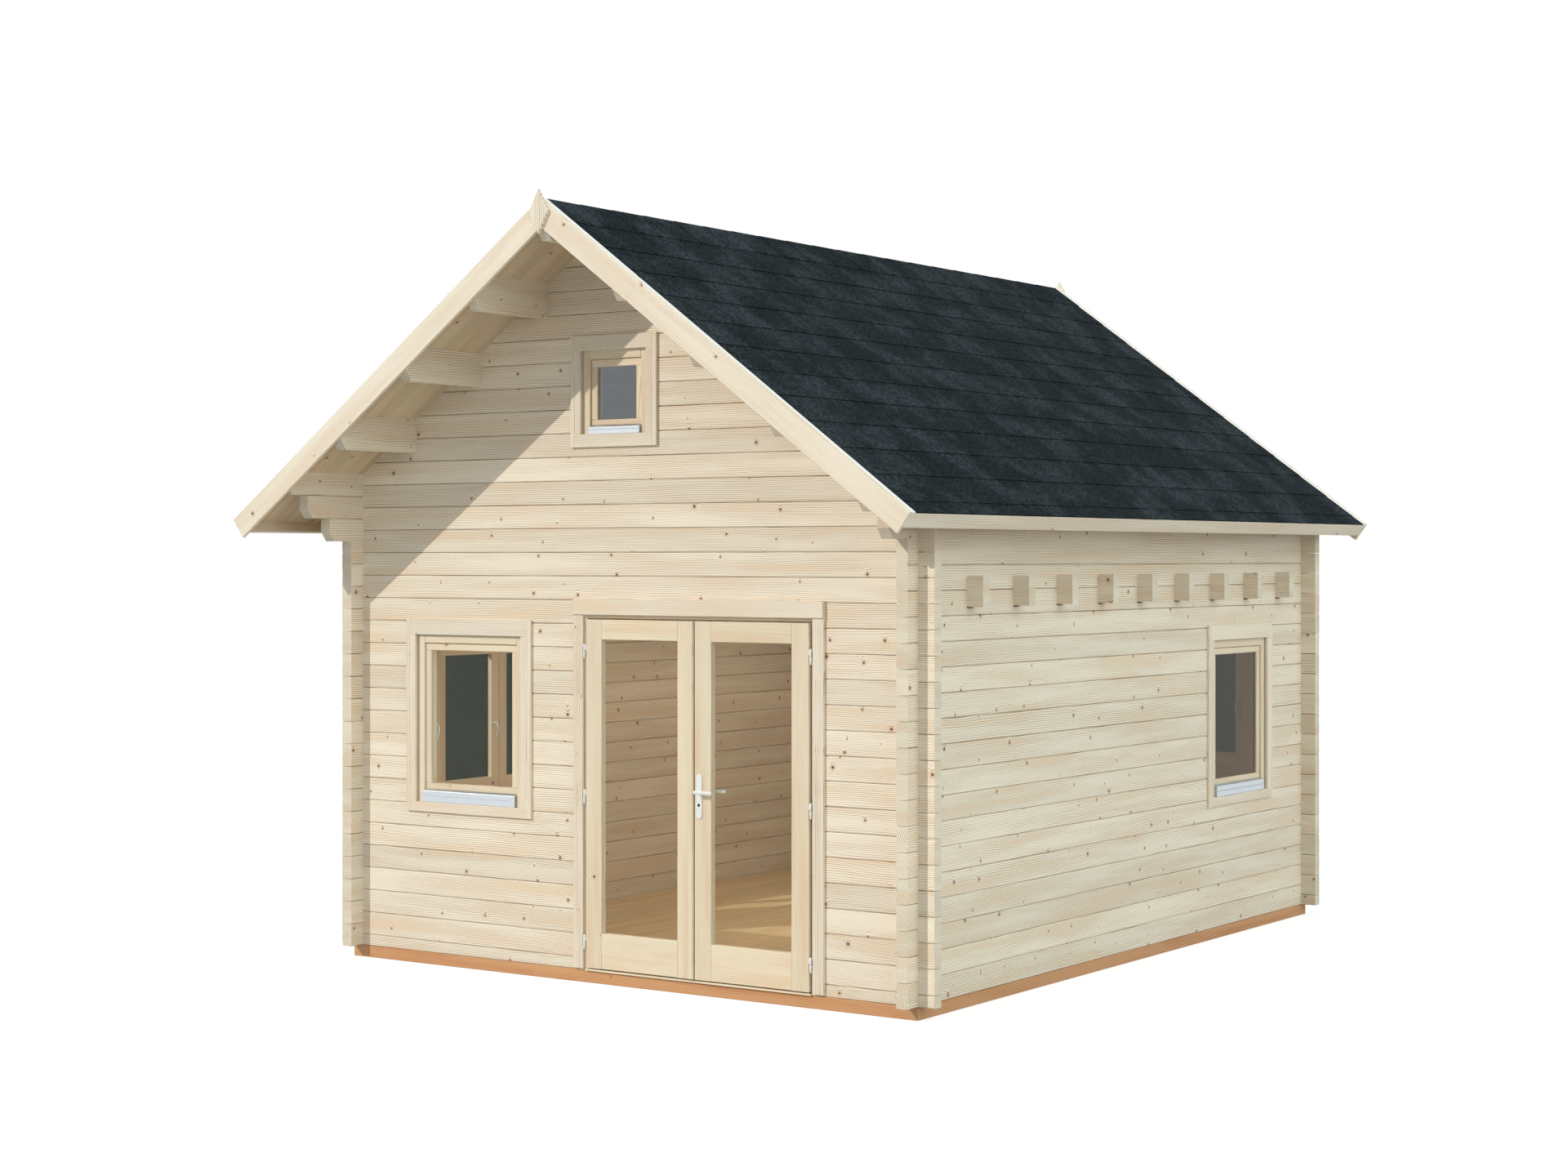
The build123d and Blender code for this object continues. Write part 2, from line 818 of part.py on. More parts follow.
def knuckle(x, base, arm_low, arm_high):
    """One half of a hinge: its knuckle, and the arm that holds it."""
    with BuildPart() as made:
        with BuildSketch(Plane.XY.offset(base)):
            with Locations((x, hinge_y)):
                Circle(knuckle_radius)
        extrude(amount=knuckle_height)
        with BuildSketch(Plane.XY.offset(base + (knuckle_height - hinge_arm_height) / 2)):
            with Locations(((arm_low[0] + arm_high[0]) / 2, (arm_low[1] + arm_high[1]) / 2)):
                Rectangle(arm_high[0] - arm_low[0], arm_high[1] - arm_low[1])
        extrude(amount=hinge_arm_height)
    return made.part


def hinge_pin(x, base, radius, height):
    """The pin of a hinge, or the bore that it turns in."""
    with BuildPart() as made:
        with BuildSketch(Plane.XY.offset(base)):
            with Locations((x, hinge_y)):
                Circle(radius)
        extrude(amount=height)
    return made.part


with BuildPart() as frame_hinges:
    for x in hinge_axes.values():
        for centre in hinge_heights:
            base = wall_base + centre - knuckle_height - knuckle_gap / 2
            arm_low = (x - hinge_arm_width / 2, hinge_y)
            add(knuckle(x, base, arm_low, (x + hinge_arm_width / 2, front_face)))
            add(hinge_pin(x, base + knuckle_height, hinge_pin_radius, hinge_pin_length))
save(frame_hinges.part, "frame_hinges")
for name, x in hinge_axes.items():
    edges = sorted((x, leaves[name][0 if name == "left" else 1]))
    with BuildPart() as leaf_hinges:
        for centre in hinge_heights:
            base = wall_base + centre + knuckle_gap / 2
            arm_low = (edges[0], hinge_y)
            add(knuckle(x, base, arm_low, (edges[1], hinge_y + hinge_arm_width / 2)))
            bore_radius = hinge_pin_radius + hinge_pin_clearance
            bore = hinge_pin(x, base, bore_radius, hinge_pin_length + hinge_pin_clearance)
            add(bore, mode=Mode.SUBTRACT)
    save(leaf_hinges.part, f"{name}_door_hinges")

# Handle: a long plate on each face of the right leaf, and a lever on both sides of one spindle
plate_centre = wall_base + handle_plate_base + handle_plate_height / 2
with BuildPart() as handle_plates:
    for face, outward in ((leaf_front, 1), (leaf_back, -1)):
        with BuildSketch(front_plane(face)):
            with Locations((handle_x, plate_centre)):
                Rectangle(handle_plate_width, handle_plate_height)
            with Locations((handle_x, lever_z)):
                Circle(spindle_radius + spindle_clearance, mode=Mode.SUBTRACT)
        extrude(amount=outward * handle_plate_thickness)
save(handle_plates.part, "handle_plates")

plate_faces = (leaf_front - handle_plate_thickness, leaf_back + handle_plate_thickness)
with BuildPart() as door_lever:
    with BuildSketch(front_plane(plate_faces[0] - lever_plate_gap)):
        with Locations((handle_x, lever_z)):
            Circle(spindle_radius)
    extrude(amount=-(plate_faces[1] - plate_faces[0] + 2 * lever_plate_gap))
    for face, outward in ((plate_faces[0] - lever_plate_gap, 1), (plate_faces[1] + lever_plate_gap, -1)):
        with BuildSketch(front_plane(face)):
            with Locations((handle_x, lever_z)):
                Circle(lever_neck_radius)
        extrude(amount=outward * lever_standoff)
        with BuildSketch(front_plane(face - outward * lever_standoff)):
            with Locations((handle_x + (lever_length - lever_bar_height / 2) / 2, lever_z)):
                SlotOverall(lever_length + lever_bar_height / 2, lever_bar_height)
        extrude(amount=outward * lever_bar_thickness)
save(door_lever.part, "door_lever")
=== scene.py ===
"""Looks of the log garden house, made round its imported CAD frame.

All sizes are in metres in the frame's own axes: +X to the right seen from the front, +Y from the door to the
back wall along the ridge, +Z up from the ground.
"""

import logging
import math
from collections.abc import Callable, Iterable, Sequence
from dataclasses import dataclass
from enum import Enum

import bpy
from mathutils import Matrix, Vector

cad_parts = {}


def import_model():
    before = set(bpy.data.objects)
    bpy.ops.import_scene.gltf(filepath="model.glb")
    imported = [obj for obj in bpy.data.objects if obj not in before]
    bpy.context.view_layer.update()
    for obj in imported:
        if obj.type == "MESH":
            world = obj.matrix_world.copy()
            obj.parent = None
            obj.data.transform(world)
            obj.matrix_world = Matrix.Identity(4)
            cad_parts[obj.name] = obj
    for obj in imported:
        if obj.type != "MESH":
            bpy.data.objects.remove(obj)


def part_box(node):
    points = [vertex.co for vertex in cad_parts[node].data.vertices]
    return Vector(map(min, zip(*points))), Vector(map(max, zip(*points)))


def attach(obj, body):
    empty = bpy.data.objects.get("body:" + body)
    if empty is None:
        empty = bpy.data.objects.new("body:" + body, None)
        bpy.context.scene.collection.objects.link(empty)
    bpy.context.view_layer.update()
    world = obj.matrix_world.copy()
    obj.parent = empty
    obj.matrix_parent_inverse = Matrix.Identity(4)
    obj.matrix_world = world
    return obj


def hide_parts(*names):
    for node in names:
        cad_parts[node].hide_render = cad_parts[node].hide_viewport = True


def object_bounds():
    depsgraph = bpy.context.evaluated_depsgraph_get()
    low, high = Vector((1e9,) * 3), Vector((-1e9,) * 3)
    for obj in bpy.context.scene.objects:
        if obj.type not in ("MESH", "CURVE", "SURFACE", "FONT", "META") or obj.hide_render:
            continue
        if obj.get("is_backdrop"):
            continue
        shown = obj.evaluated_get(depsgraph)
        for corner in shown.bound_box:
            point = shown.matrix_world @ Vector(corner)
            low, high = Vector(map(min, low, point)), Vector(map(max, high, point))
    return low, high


logging.basicConfig(level=logging.INFO, format="%(message)s")
log = logging.getLogger("garden_house")

Point = tuple[float, float, float]
Colour = tuple[float, float, float]
Shade = tuple[int, int, int]
Span = tuple[float, float]
Level = tuple[Span, Span]
Hole = tuple[float, float, float, float]
Run = tuple[int, Point]
EndLine = Callable[[float, float], float]
End = float | EndLine
Socket = bpy.types.NodeSocket

COLOUR, NUMBER = "NodeSocketColor", "NodeSocketFloat"
VECTOR, GEOMETRY = "NodeSocketVector", "NodeSocketGeometry"


def srgb(red: int, green: int, blue: int) -> Colour:
    """Turn an 8-bit display colour into a linear one."""
    shares = (red / 255, green / 255, blue / 255)
    return tuple(((share + 0.055) / 1.055) ** 2.4 if share > 0.04 else share / 12.92 for share in shares)


class Body(Enum):
    """The moving bodies of the frame."""

    HOUSE = "house"
    LEFT_LEAF = "left_leaf"
    RIGHT_LEAF = "right_leaf"
    LEVER = "lever"


class Slot(Enum):
    """The material slots of the record."""

    SPRUCE = "spruce"
    TRIM = "trim_timber"
    JOINERY = "joinery"
    FLOOR = "floor_timber"
    TREATED = "treated_timber"
    SHINGLE = "shingle"
    GLASS = "glass"
    DRIP = "drip_metal"
    METAL = "white_metal"


# Sizes


@dataclass(frozen=True)
class WallSizes:
    """Logs, corners and roof line, as in the CAD part.

    A bracket is the height from which the side walls' logs reach out further, and how far they then reach
    past the front and past the back. The closed joint is the one that a bracket's log runs through.
    """

    log_height: float = 0.135
    thickness: float = 0.070
    half_width: float = 1.995
    tail: float = 0.100
    front: float = -2.274
    back: float = 2.716
    base: float = 0.070
    pitch: float = math.radians(36.3)
    roof_seat: float = 2.853
    gable: float = 2.926
    beam_end: float = 2.906
    seam_gap: float = 0.0022
    chamfer: float = 0.0045
    apex_gap: float = 0.004
    lid_gap: float = 0.0004
    side_logs: int = 21
    closed_joint: int = 18
    cut_length: float = 0.042
    cut_height: float = 0.054
    brackets: tuple[Point, ...] = ((2.500, 0.283, 0.100), (2.635, 0.465, 0.145), (2.770, 0.632, 0.190))

    @property
    def inner(self) -> float:
        """Inner face of the side walls."""
        return self.half_width - self.thickness

    @property
    def tail_end(self) -> float:
        """End of the front and back walls' logs."""
        return self.half_width + self.tail

    @property
    def slope(self) -> float:
        """Rise of the roof over its run."""
        return math.tan(self.pitch)

    @property
    def plumb(self) -> float:
        """Plumb height of a sloping sheet over its thickness."""
        return 1 / math.cos(self.pitch)

    def under_roof(self, x: float) -> float:
        """Height of the roof boards' underside."""
        return self.roof_seat + (self.half_width - abs(x)) * self.slope

    def roof_x(self, z: float) -> float:
        """Distance from the middle at which the roof boards' underside has a height."""
        return self.half_width - (z - self.roof_seat) / self.slope


@dataclass(frozen=True)
class FloorSizes:
    """Foundation beams, and joists and boards of the floor and the loft."""

    beam: float = 0.070
    front: float = -2.199
    back: float = 2.641
    half_width: float = 1.920
    board: float = 0.019
    boards: int = 40
    board_gap: float = 0.0004
    board_chamfer: float = 0.0012
    joists: int = 9
    joist_step: float = 0.5
    joist_reach: float = 1.925
    joist_start: float = -1.8015
    joist: float = 0.045
    loft_joist_start: float = -1.776
    loft_joist: float = 0.070
    joist_base: float = 2.140
    joist_gap: float = 0.0005
    joist_slot: float = 0.007
    loft: float = 2.305
    loft_board: float = 0.096
    hatch: Hole = (1.794, 2.224, -1.670, -0.870)


@dataclass(frozen=True)
class RoofSizes:
    """Beams, boards, shingles and gable boards of the roof.

    The lifts of the ridge cap's tabs are those of the hind edge and the front edge. A tab's heights over the
    boards are those of its upper and its lower edge.
    """

    beam_half: float = 0.035
    beam_height: float = 0.196
    beam_ease: float = 0.003
    beam_gap: float = 0.0005
    peak_half: float = 0.0004
    purlins: int = 3
    first_purlin: float = 0.514
    purlin_step: float = 0.508
    boards: int = 60
    board_gap: float = 0.0003
    board_ease: float = 0.0018
    board: float = 0.019
    shingle: float = 0.008
    eave: float = 2.344
    shingle_end: float = 2.870
    first_course: float = 0.192
    last_course: float = 2.262
    even_courses: int = 6
    odd_courses: int = 5
    tabs: int = 18
    overlap: float = 0.032
    tab_gap: float = 0.0009
    tab_under: Span = (0.0004, 0.0036)
    tab_over: Span = (0.0034, 0.0072)
    backing: float = 0.0016
    backing_start: float = 0.004
    backing_inset: float = 0.002
    eave_inset: float = 0.0004
    eave_lap: float = 0.001
    cap: float = 0.003
    cap_tabs: int = 20
    cap_drop: float = 0.0036
    cap_fold: float = 0.002
    cap_lifts: Span = (0.0004, 0.0026)
    bargeboard: float = 0.122
    bargeboard_thickness: float = 0.020
    bargeboard_ease: float = 0.002
    strip_width: float = 0.056
    strip_height: float = 0.008
    fascia: float = 0.095
    fascia_thickness: float = 0.018
    finial_half: float = 0.066
    finial_height: float = 0.119
    finial_drop: float = 0.068
    finial_ease: float = 0.0025
    finial_reach: float = 0.055

    @property
    def finial_face(self) -> float:
        """Size of a finial's face inside its eased edges, over the size of its back."""
        return 1 - self.finial_ease / self.finial_reach


@dataclass(frozen=True)
class WindowSizes:
    """One window, drawn on the outside plane of its wall.

    Attributes:
        name: Start of its pieces' names.
        centre: Place along the wall, to the right seen from outside.
        base: Height of the casing's lower edge.
        width: Width over the casing.
        height: Height over the casing.
        low_board: Height of the lower casing board.
        top_board: Height of the upper casing board.
        drip: Height of the drip profile.
        pane_base: Height of the pane's lower edge over the lower board.
        sashes: Number of panes side by side.
    """

    name: str
    centre: float
    base: float
    width: float
    height: float = 1.143
    low_board: float = 0.058
    top_board: float = 0.096
    drip: float = 0.077
    pane_base: float = 0.109
    sashes: int = 1
    side_board: float = 0.074
    casing: float = 0.018
    hidden: float = 0.020
    shown: float = 0.050
    setback: float = 0.006
    depth: float = 0.060
    sash_setback: float = 0.018
    sash: float = 0.044
    meeting: float = 0.147
    pane_setback: float = 0.030
    pane: float = 0.008
    pane_groove: float = 0.012
    pane_ease: float = 0.0004
    projection: float = 0.012
    drip_slope: float = 0.010
    drip_gap: float = 0.0005
    casing_strip: float = 0.030
    low_shown: float = 0.038
    ease: float = 0.003
    sash_ease: float = 0.004
    sash_gap: float = 0.0015
    meeting_gap: float = 0.001
    strip_half: float = 0.017
    strip_thickness: float = 0.009
    strip_insets: Span = (0.05, 0.004)
    handle_inset: float = 0.020
    handle_drop: float = 0.05

    @property
    def left(self) -> float:
        """Inner edge of the left casing board."""
        return self.centre - self.width / 2 + self.side_board

    @property
    def right(self) -> float:
        """Inner edge of the right casing board."""
        return self.centre + self.width / 2 - self.side_board

    @property
    def low(self) -> float:
        """Upper edge of the lower casing board."""
        return self.base + self.low_board

    @property
    def top(self) -> float:
        """Lower edge of the upper casing board."""
        return self.base + self.height - self.top_board

    @property
    def hole(self) -> Hole:
        """Left, right, base and top of the hole through the wall."""
        edge = self.hidden
        return self.left - edge, self.right + edge, self.low - edge, self.top + edge

    def pane_openings(self) -> list[Hole]:
        """Left, right, base and top of what shows of each pane."""
        left, right = self.left + self.shown + self.sash, self.right - self.shown - self.sash
        base, top = self.low + self.pane_base, self.top - self.shown - self.sash
        if self.sashes == 1:
            return [(left, right, base, top)]
        middle, half = (left + right) / 2, self.meeting / 2
        return [(left, middle - half, base, top), (middle + half, right, base, top)]


@dataclass(frozen=True)
class DoorSizes:
    """The doorway, its frame, leaves and handle."""

    hole_left: float = -0.2512
    hole_right: float = 1.3848
    hole_top: float = 2.1625
    jamb_left: float = -0.1992
    jamb_right: float = 1.3328
    casing_left: float = -0.2152
    casing_right: float = 1.3488
    casing_width: float = 0.069
    casing_lines: tuple[float, ...] = (0.0, 0.022, 0.036, 0.049, 0.069)
    casing: float = 0.018
    casing_ease: float = 0.0013
    head_base: float = 2.080
    head_height: float = 0.093
    head_thickness: float = 0.026
    head_ease: float = 0.0025
    head_jamb: float = 2.062
    sill: float = 0.010
    sill_out: float = 0.018
    sill_stop: float = 0.033
    stop_front: float = -2.246
    stop_inset: float = 0.015
    ease: float = 0.002
    front: float = -2.292
    thickness: float = 0.040
    low: float = 0.088
    high: float = 2.054
    left_leaf: Span = (-0.1912, 0.5633)
    right_leaf: Span = (0.5703, 1.3248)
    stile: float = 0.112
    top_rail: float = 0.112
    bottom_rail: float = 0.200
    leaf_ease: float = 0.0025
    pane_setback: float = 0.014
    pane: float = 0.008
    pane_ease: float = 0.0004
    groove: float = 0.012
    strip_width: float = 0.036
    strip: float = 0.012
    strip_ease: float = 0.003
    hinge_left: float = -0.2032
    hinge_right: float = 1.3368
    hinge_heights: tuple[float, ...] = (0.2325, 1.053, 1.875)
    hinge_gap: float = 0.00015
    knuckle: float = 0.006
    knuckle_height: float = 0.042
    knuckle_ease: float = 0.001
    pin: float = 0.003
    pin_length: float = 0.030
    pin_room: float = 0.0001
    flap_heights: Span = (0.006, 0.036)
    flap: float = 0.004
    flap_depth: Span = (-0.0005, 0.018)
    flap_start: float = 0.0045
    flap_ease: float = 0.0005
    handle_x: float = 0.6043
    plate_width: float = 0.038
    plate_height: float = 0.246
    plate_base: float = 0.972
    plate: float = 0.008
    keyhole_z: float = 1.047
    spindle: float = 0.004
    lever_z: float = 1.120
    lever_length: float = 0.116
    bar_height: float = 0.020
    bar: float = 0.012
    standoff: float = 0.032


WALL = WallSizes()
FLOOR = FloorSizes()
ROOF = RoofSizes()
DOOR = DoorSizes()
WINDOWS = (
    WindowSizes("front", -1.079, 0.902, 0.957),
    WindowSizes("right", 1.659, 0.835, 0.957),
    WindowSizes("left", 1.015, 0.835, 1.360, sashes=2),
    WindowSizes("back", -1.200, 0.902, 0.957),
    WindowSizes("gable", 0.0, 3.0265, 0.610, 0.630, 0.073, 0.084, 0.051, 0.082),
)


# Timbers


@dataclass(frozen=True)
class Axes:
    """Axes of a timber or a drawing plane: along, across, and up, which is along x across.

    Attributes:
        origin: Where all three coordinates are zero.
        along: Direction of the first coordinate.
        across: Direction of the second coordinate.
    """

    origin: Vector
    along: Vector
    across: Vector

    @property
    def up(self) -> Vector:
        """Direction of the third coordinate."""
        return self.along.cross(self.across)

    def point(self, u: float, s: float, t: float) -> Point:
        """Place of three coordinates in the frame."""
        return tuple(self.origin + self.along * u + self.across * s + self.up * t)

    def turned(self) -> "Axes":
        """The same plane with its first coordinate running across and its second one back along."""
        return Axes(self.origin, self.across, -self.along)

    def moved(self, u: float = 0, s: float = 0, t: float = 0) -> "Axes":
        """The same axes from another origin."""
        return Axes(Vector(self.point(u, s, t)), self.along, self.across)


def face_axes(name: str) -> Axes:
    """Drawing plane on the outside of the wall that a window stands in.

    Args:
        name: A window's name.

    Returns:
        Axes with the first coordinate to the right, the second up and the third out of the wall.
    """
    up = Vector((0, 0, 1))
    if name == "right":
        return Axes(Vector((WALL.half_width, 0, 0)), Vector((0, 1, 0)), up)
    if name == "left":
        return Axes(Vector((-WALL.half_width, 0, 0)), Vector((0, -1, 0)), up)
    if name == "back":
        return Axes(Vector((0, WALL.back, 0)), Vector((-1, 0, 0)), up)
    return Axes(Vector((0, WALL.front, 0)), Vector((1, 0, 0)), up)


def add_object(name: str, data: bpy.types.ID) -> bpy.types.Object:
    """Put an object into the scene."""
    made = bpy.data.objects.new(name, data)
    bpy.context.scene.collection.objects.link(made)
    return made


def eased_face(across: Span, up: Span, ease: float) -> list[Level]:
    """Section of a board whose upper face alone has eased edges."""
    (low, high), (back, front) = across, up
    return [
        ((low, back), (high, back)), ((low, front - ease), (high, front - ease)),
        ((low + ease, front), (high - ease, front)),
    ]


def eased_all_round(across: Span, up: Span, ease: float) -> list[Level]:
    """Section of a squared timber with four eased edges."""
    (low, high), (base, top) = across, up
    return [
        ((low + ease, base), (high - ease, base)), ((low, base + ease), (high, base + ease)),
        ((low, top - ease), (high, top - ease)), ((low + ease, top), (high - ease, top)),
    ]


class Stock:
    """Closed pieces for one object, with the run of the grain on every face corner.

    The grain attribute holds the distance along the grain, the distance across it and the piece's seed. On a
    cut end it holds the place in the section instead, and the cut attribute is 1. On a shingle the cut
    attribute also sets painted shade, which darkens its edges.
    """

    least_radius = 0.00002

    def __init__(self) -> None:
        """Start without any piece."""
        self.vertices: list[Point] = []
        self.faces: list[tuple[int, ...]] = []
        self.grain: list[Point] = []
        self.cuts: list[float] = []
        self.smooth: list[bool] = []

    def face(
        self, indices: Sequence[int], grain: Iterable[Point], cut: float = 0.0, smooth: bool = False
    ) -> None:
        """Add a face.

        Args:
            indices: Its vertices, counterclockwise seen from outside.
            grain: The grain attribute of each corner.
            cut: 1 on a cut end; on a shingle, the strength of its painted shade.
            smooth: Whether it is shaded smooth.
        """
        self.faces.append(tuple(indices))
        self.grain.extend(grain)
        self.cuts.extend([cut] * len(indices))
        self.smooth.append(smooth)

    def timber(self, axes: Axes, levels: Sequence[Level], start: End, stop: End, seed: float) -> None:
        """Add a timber whose section is a stack of levels.

        Args:
            axes: Its axes, with the grain running along.
            levels: For each level its two (across, up) corners, from the lowest up.
            start: Where it starts along the grain, or a function of a corner that gives this.
            stop: Where it ends.
            seed: What its figure and tone come from.
        """
        base = len(self.vertices)
        local = []
        for level in levels:
            for s, t in level:
                for end in (start, stop):
                    local.append((end(s, t) if callable(end) else end, s, t))
        self.vertices.extend(axes.point(*corner) for corner in local)

        def add(indices: Sequence[int], kind: str) -> None:
            """Add one face of the timber, which is flat, a side or an end."""
            corners = [local[i] for i in indices]
            if kind == "end":
                grain = [(s, t, seed) for _, s, t in corners]
            elif kind == "flat":
                grain = [(u, s + 0.31, seed) for u, s, _ in corners]
            else:
                grain = [(u, t, seed) for u, _, t in corners]
            self.face([base + i for i in indices], grain, 1.0 if kind == "end" else 0.0)

        last = 4 * (len(levels) - 1)
        add((0, 2, 3, 1), "flat")
        add((last, last + 1, last + 3, last + 2), "flat")
        for i in range(0, last, 4):
            add((i, i + 1, i + 5, i + 4), "side")
            add((i + 2, i + 6, i + 7, i + 3), "side")
            add((i, i + 4, i + 6, i + 2), "end")
            add((i + 1, i + 3, i + 7, i + 5), "end")

    def board(
        self, axes: Axes, along: Span, across: Span, up: Span, seed: float, ease: float = 0.0015
    ) -> None:
        """Add a board whose upper face has eased edges and ends.

        Args:
            axes: Its axes, with the grain running along.
            along: Where it starts and ends.
            across: Its two edges.
            up: Its back and its face.
            seed: What its figure and tone come from.
            ease: Width of the eased edges.
        """
        face = up[1] - ease / 2

        def end(place: float, inward: float) -> EndLine:
            """Line of one of its ends, drawn in by the ease at its face."""
            return lambda s, t: place + (inward * ease if t > face else 0.0)

        self.timber(axes, eased_face(across, up, ease), end(along[0], 1), end(along[1], -1), seed)

    def squared(
        self, axes: Axes, along: Span, across: Span, up: Span, seed: float, ease: float = 0.003
    ) -> None:
        """Add a squared timber with eased long edges, whose arguments are those of a board."""
        self.timber(axes, eased_all_round(across, up, ease), along[0], along[1], seed)

    def rim(self, rings: Sequence[Sequence[Point]], smooth: bool = True, closed: bool = True) -> None:
        """Add a solid whose outline is carried through several rings of points, with both ends closed.

        Args:
            rings: Rings with the same number of points, counterclockwise seen against the way they follow.
            smooth: Whether its sides are shaded smooth.
            closed: Whether its ends are closed.
        """
        base, count = len(self.vertices), len(rings[0])
        for ring in rings:
            self.vertices.extend(tuple(point) for point in ring)
        blank = [(0.0, 0.0, 0.0)] * max(count, 4)
        for row in range(len(rings) - 1):
            for i in range(count):
                j, low, high = (i + 1) % count, base + row * count, base + (row + 1) * count
                self.face((low + i, low + j, high + j, high + i), blank[:4], smooth=smooth)
        if closed:
            self.face([base + i for i in reversed(range(count))], blank[:count], 1.0)
            last = base + (len(rings) - 1) * count
            self.face([last + i for i in range(count)], blank[:count], 1.0)

    def lathe(self, foot: Vector, axis: Vector, profile: Sequence[Span], sides: int = 20) -> None:
        """Add a turned solid.

        Args:
            foot: Where its axis starts.
            axis: Unit direction of its axis.
            profile: (distance along the axis, radius) of each ring. A bore comes first, from its bottom out.
            sides: Number of sides.
        """
        first = axis.orthogonal().normalized()
        second = axis.cross(first)
        turns = [2 * math.pi * i / sides for i in range(sides)]
        rings = []
        for height, radius in profile:
            centre, reach = foot + axis * height, max(radius, self.least_radius)
            rings.append([centre + (first * math.cos(a) + second * math.sin(a)) * reach for a in turns])
        self.rim(rings)

    def build(self, name: str, material: bpy.types.Material) -> bpy.types.Object:
        """Make the object.

        Args:
            name: The object's name.
            material: Its finish.

        Returns:
            The object, linked to the scene.
        """
        mesh = bpy.data.meshes.new(name)
        mesh.from_pydata(self.vertices, [], self.faces)
        grain = mesh.attributes.new("grain", "FLOAT_VECTOR", "CORNER")
        grain.data.foreach_set("vector", [c for corner in self.grain for c in corner])
        cut = mesh.attributes.new("cut", "FLOAT", "CORNER")
        cut.data.foreach_set("value", self.cuts)
        mesh.polygons.foreach_set("use_smooth", self.smooth)
        mesh.materials.append(material)
        mesh.update()
        return add_object(name, mesh)


@dataclass
class Courses:
    """Logs or boards laid side by side, with holes cut through them.

    Attributes:
        axes: Their axes, with the grain running along and the courses following one another up.
        faces: The two faces across.
        joints: Where one course meets the next, from the lowest edge up to the highest.
        extent: Where a course starts and stops, as a function of up.
        holes: Each hole's start, stop, lower and upper edge.
        gap: Half of the gap between two courses.
        chamfer: Width of the chamfers along each course's edges.
        breaks: Further heights at which the extent changes its run.
        seed: What the figure and tones come from.
        lid: Height of the top as a function of across, where the last course isn't level.
        closed: Joints that don't show, because one course runs through them.
    """

    axes: Axes
    faces: Span
    joints: Sequence[float]
    extent: Callable[[float], Span]
    holes: Sequence[Hole] = ()
    gap: float = WALL.seam_gap / 2
    chamfer: float = WALL.chamfer
    breaks: Sequence[float] = ()
    seed: float = 0.0
    lid: "Callable[[float], float] | None" = None
    closed: Sequence[float] = ()

    tone_step = 1.37
    thinnest = 0.0005
    closed_gap = 0.0001
    touch = 1e-6

    def cut(self) -> Stock:
        """Cut every course round the holes."""
        stock = Stock()
        for number, (low, high) in enumerate(zip(self.joints, self.joints[1:])):
            edges = {low, high} | {edge for hole in self.holes for edge in hole[2:] if low < edge < high}
            tone = self.seed + self.tone_step * (number - sum(joint <= low for joint in self.closed))
            ordered = sorted(edges)
            for base, top in zip(ordered, ordered[1:]):
                if top - base < self.thinnest:
                    continue
                for start, stop in self.free_runs((base + top) / 2):
                    levels = self.levels(low, high, base, top)
                    stock.timber(self.axes, levels, start, stop, tone)
        return stock

    def levels(self, low: float, high: float, base: float, top: float) -> list[Level]:
        """Section of what lies between base and top of the course from low to high."""
        floor = low + self.gap * (low not in self.closed)
        ceiling = high - (self.closed_gap if high in self.closed else self.gap)
        under, over = self.chamfer * (low not in self.closed), self.chamfer * (high not in self.closed)
        last = self.lid is not None and high == self.joints[-1]
        lowest, highest = max(base, floor), min(top, ceiling)
        heights = {lowest, highest, floor + under, ceiling - over, *self.breaks}
        levels = []
        for t in sorted(h for h in heights if lowest - self.touch <= h <= highest + self.touch):
            inset = max(0.0, under - (t - floor), 0.0 if last else over - (ceiling - t))
            left, right = self.faces[0] + inset, self.faces[1] - inset
            if last and t >= highest - self.touch:
                levels.append(((left, self.lid(left)), (right, self.lid(right))))
            elif not last or t < ceiling - 1.5 * self.chamfer:
                levels.append(((left, t), (right, t)))
        return levels

    def free_runs(self, middle: float) -> list[tuple[End, End]]:
        """Starts and ends of what is left between the holes at a height."""
        runs: list[tuple[End, End]] = []
        start: End = lambda s, t: self.extent(t)[0]
        for left, right, base, top in sorted(self.holes):
            if base < middle < top:
                runs.append((start, left))
                start = right
        runs.append((start, lambda s, t: self.extent(t)[1]))
        return runs


def steps(start: float, stop: float, step: float) -> list[float]:
    """Even steps from start, with stop as the last."""
    count = int((stop - start) / step - 1e-6)
    return [start + step * i for i in range(count + 1)] + [stop]


# Node trees


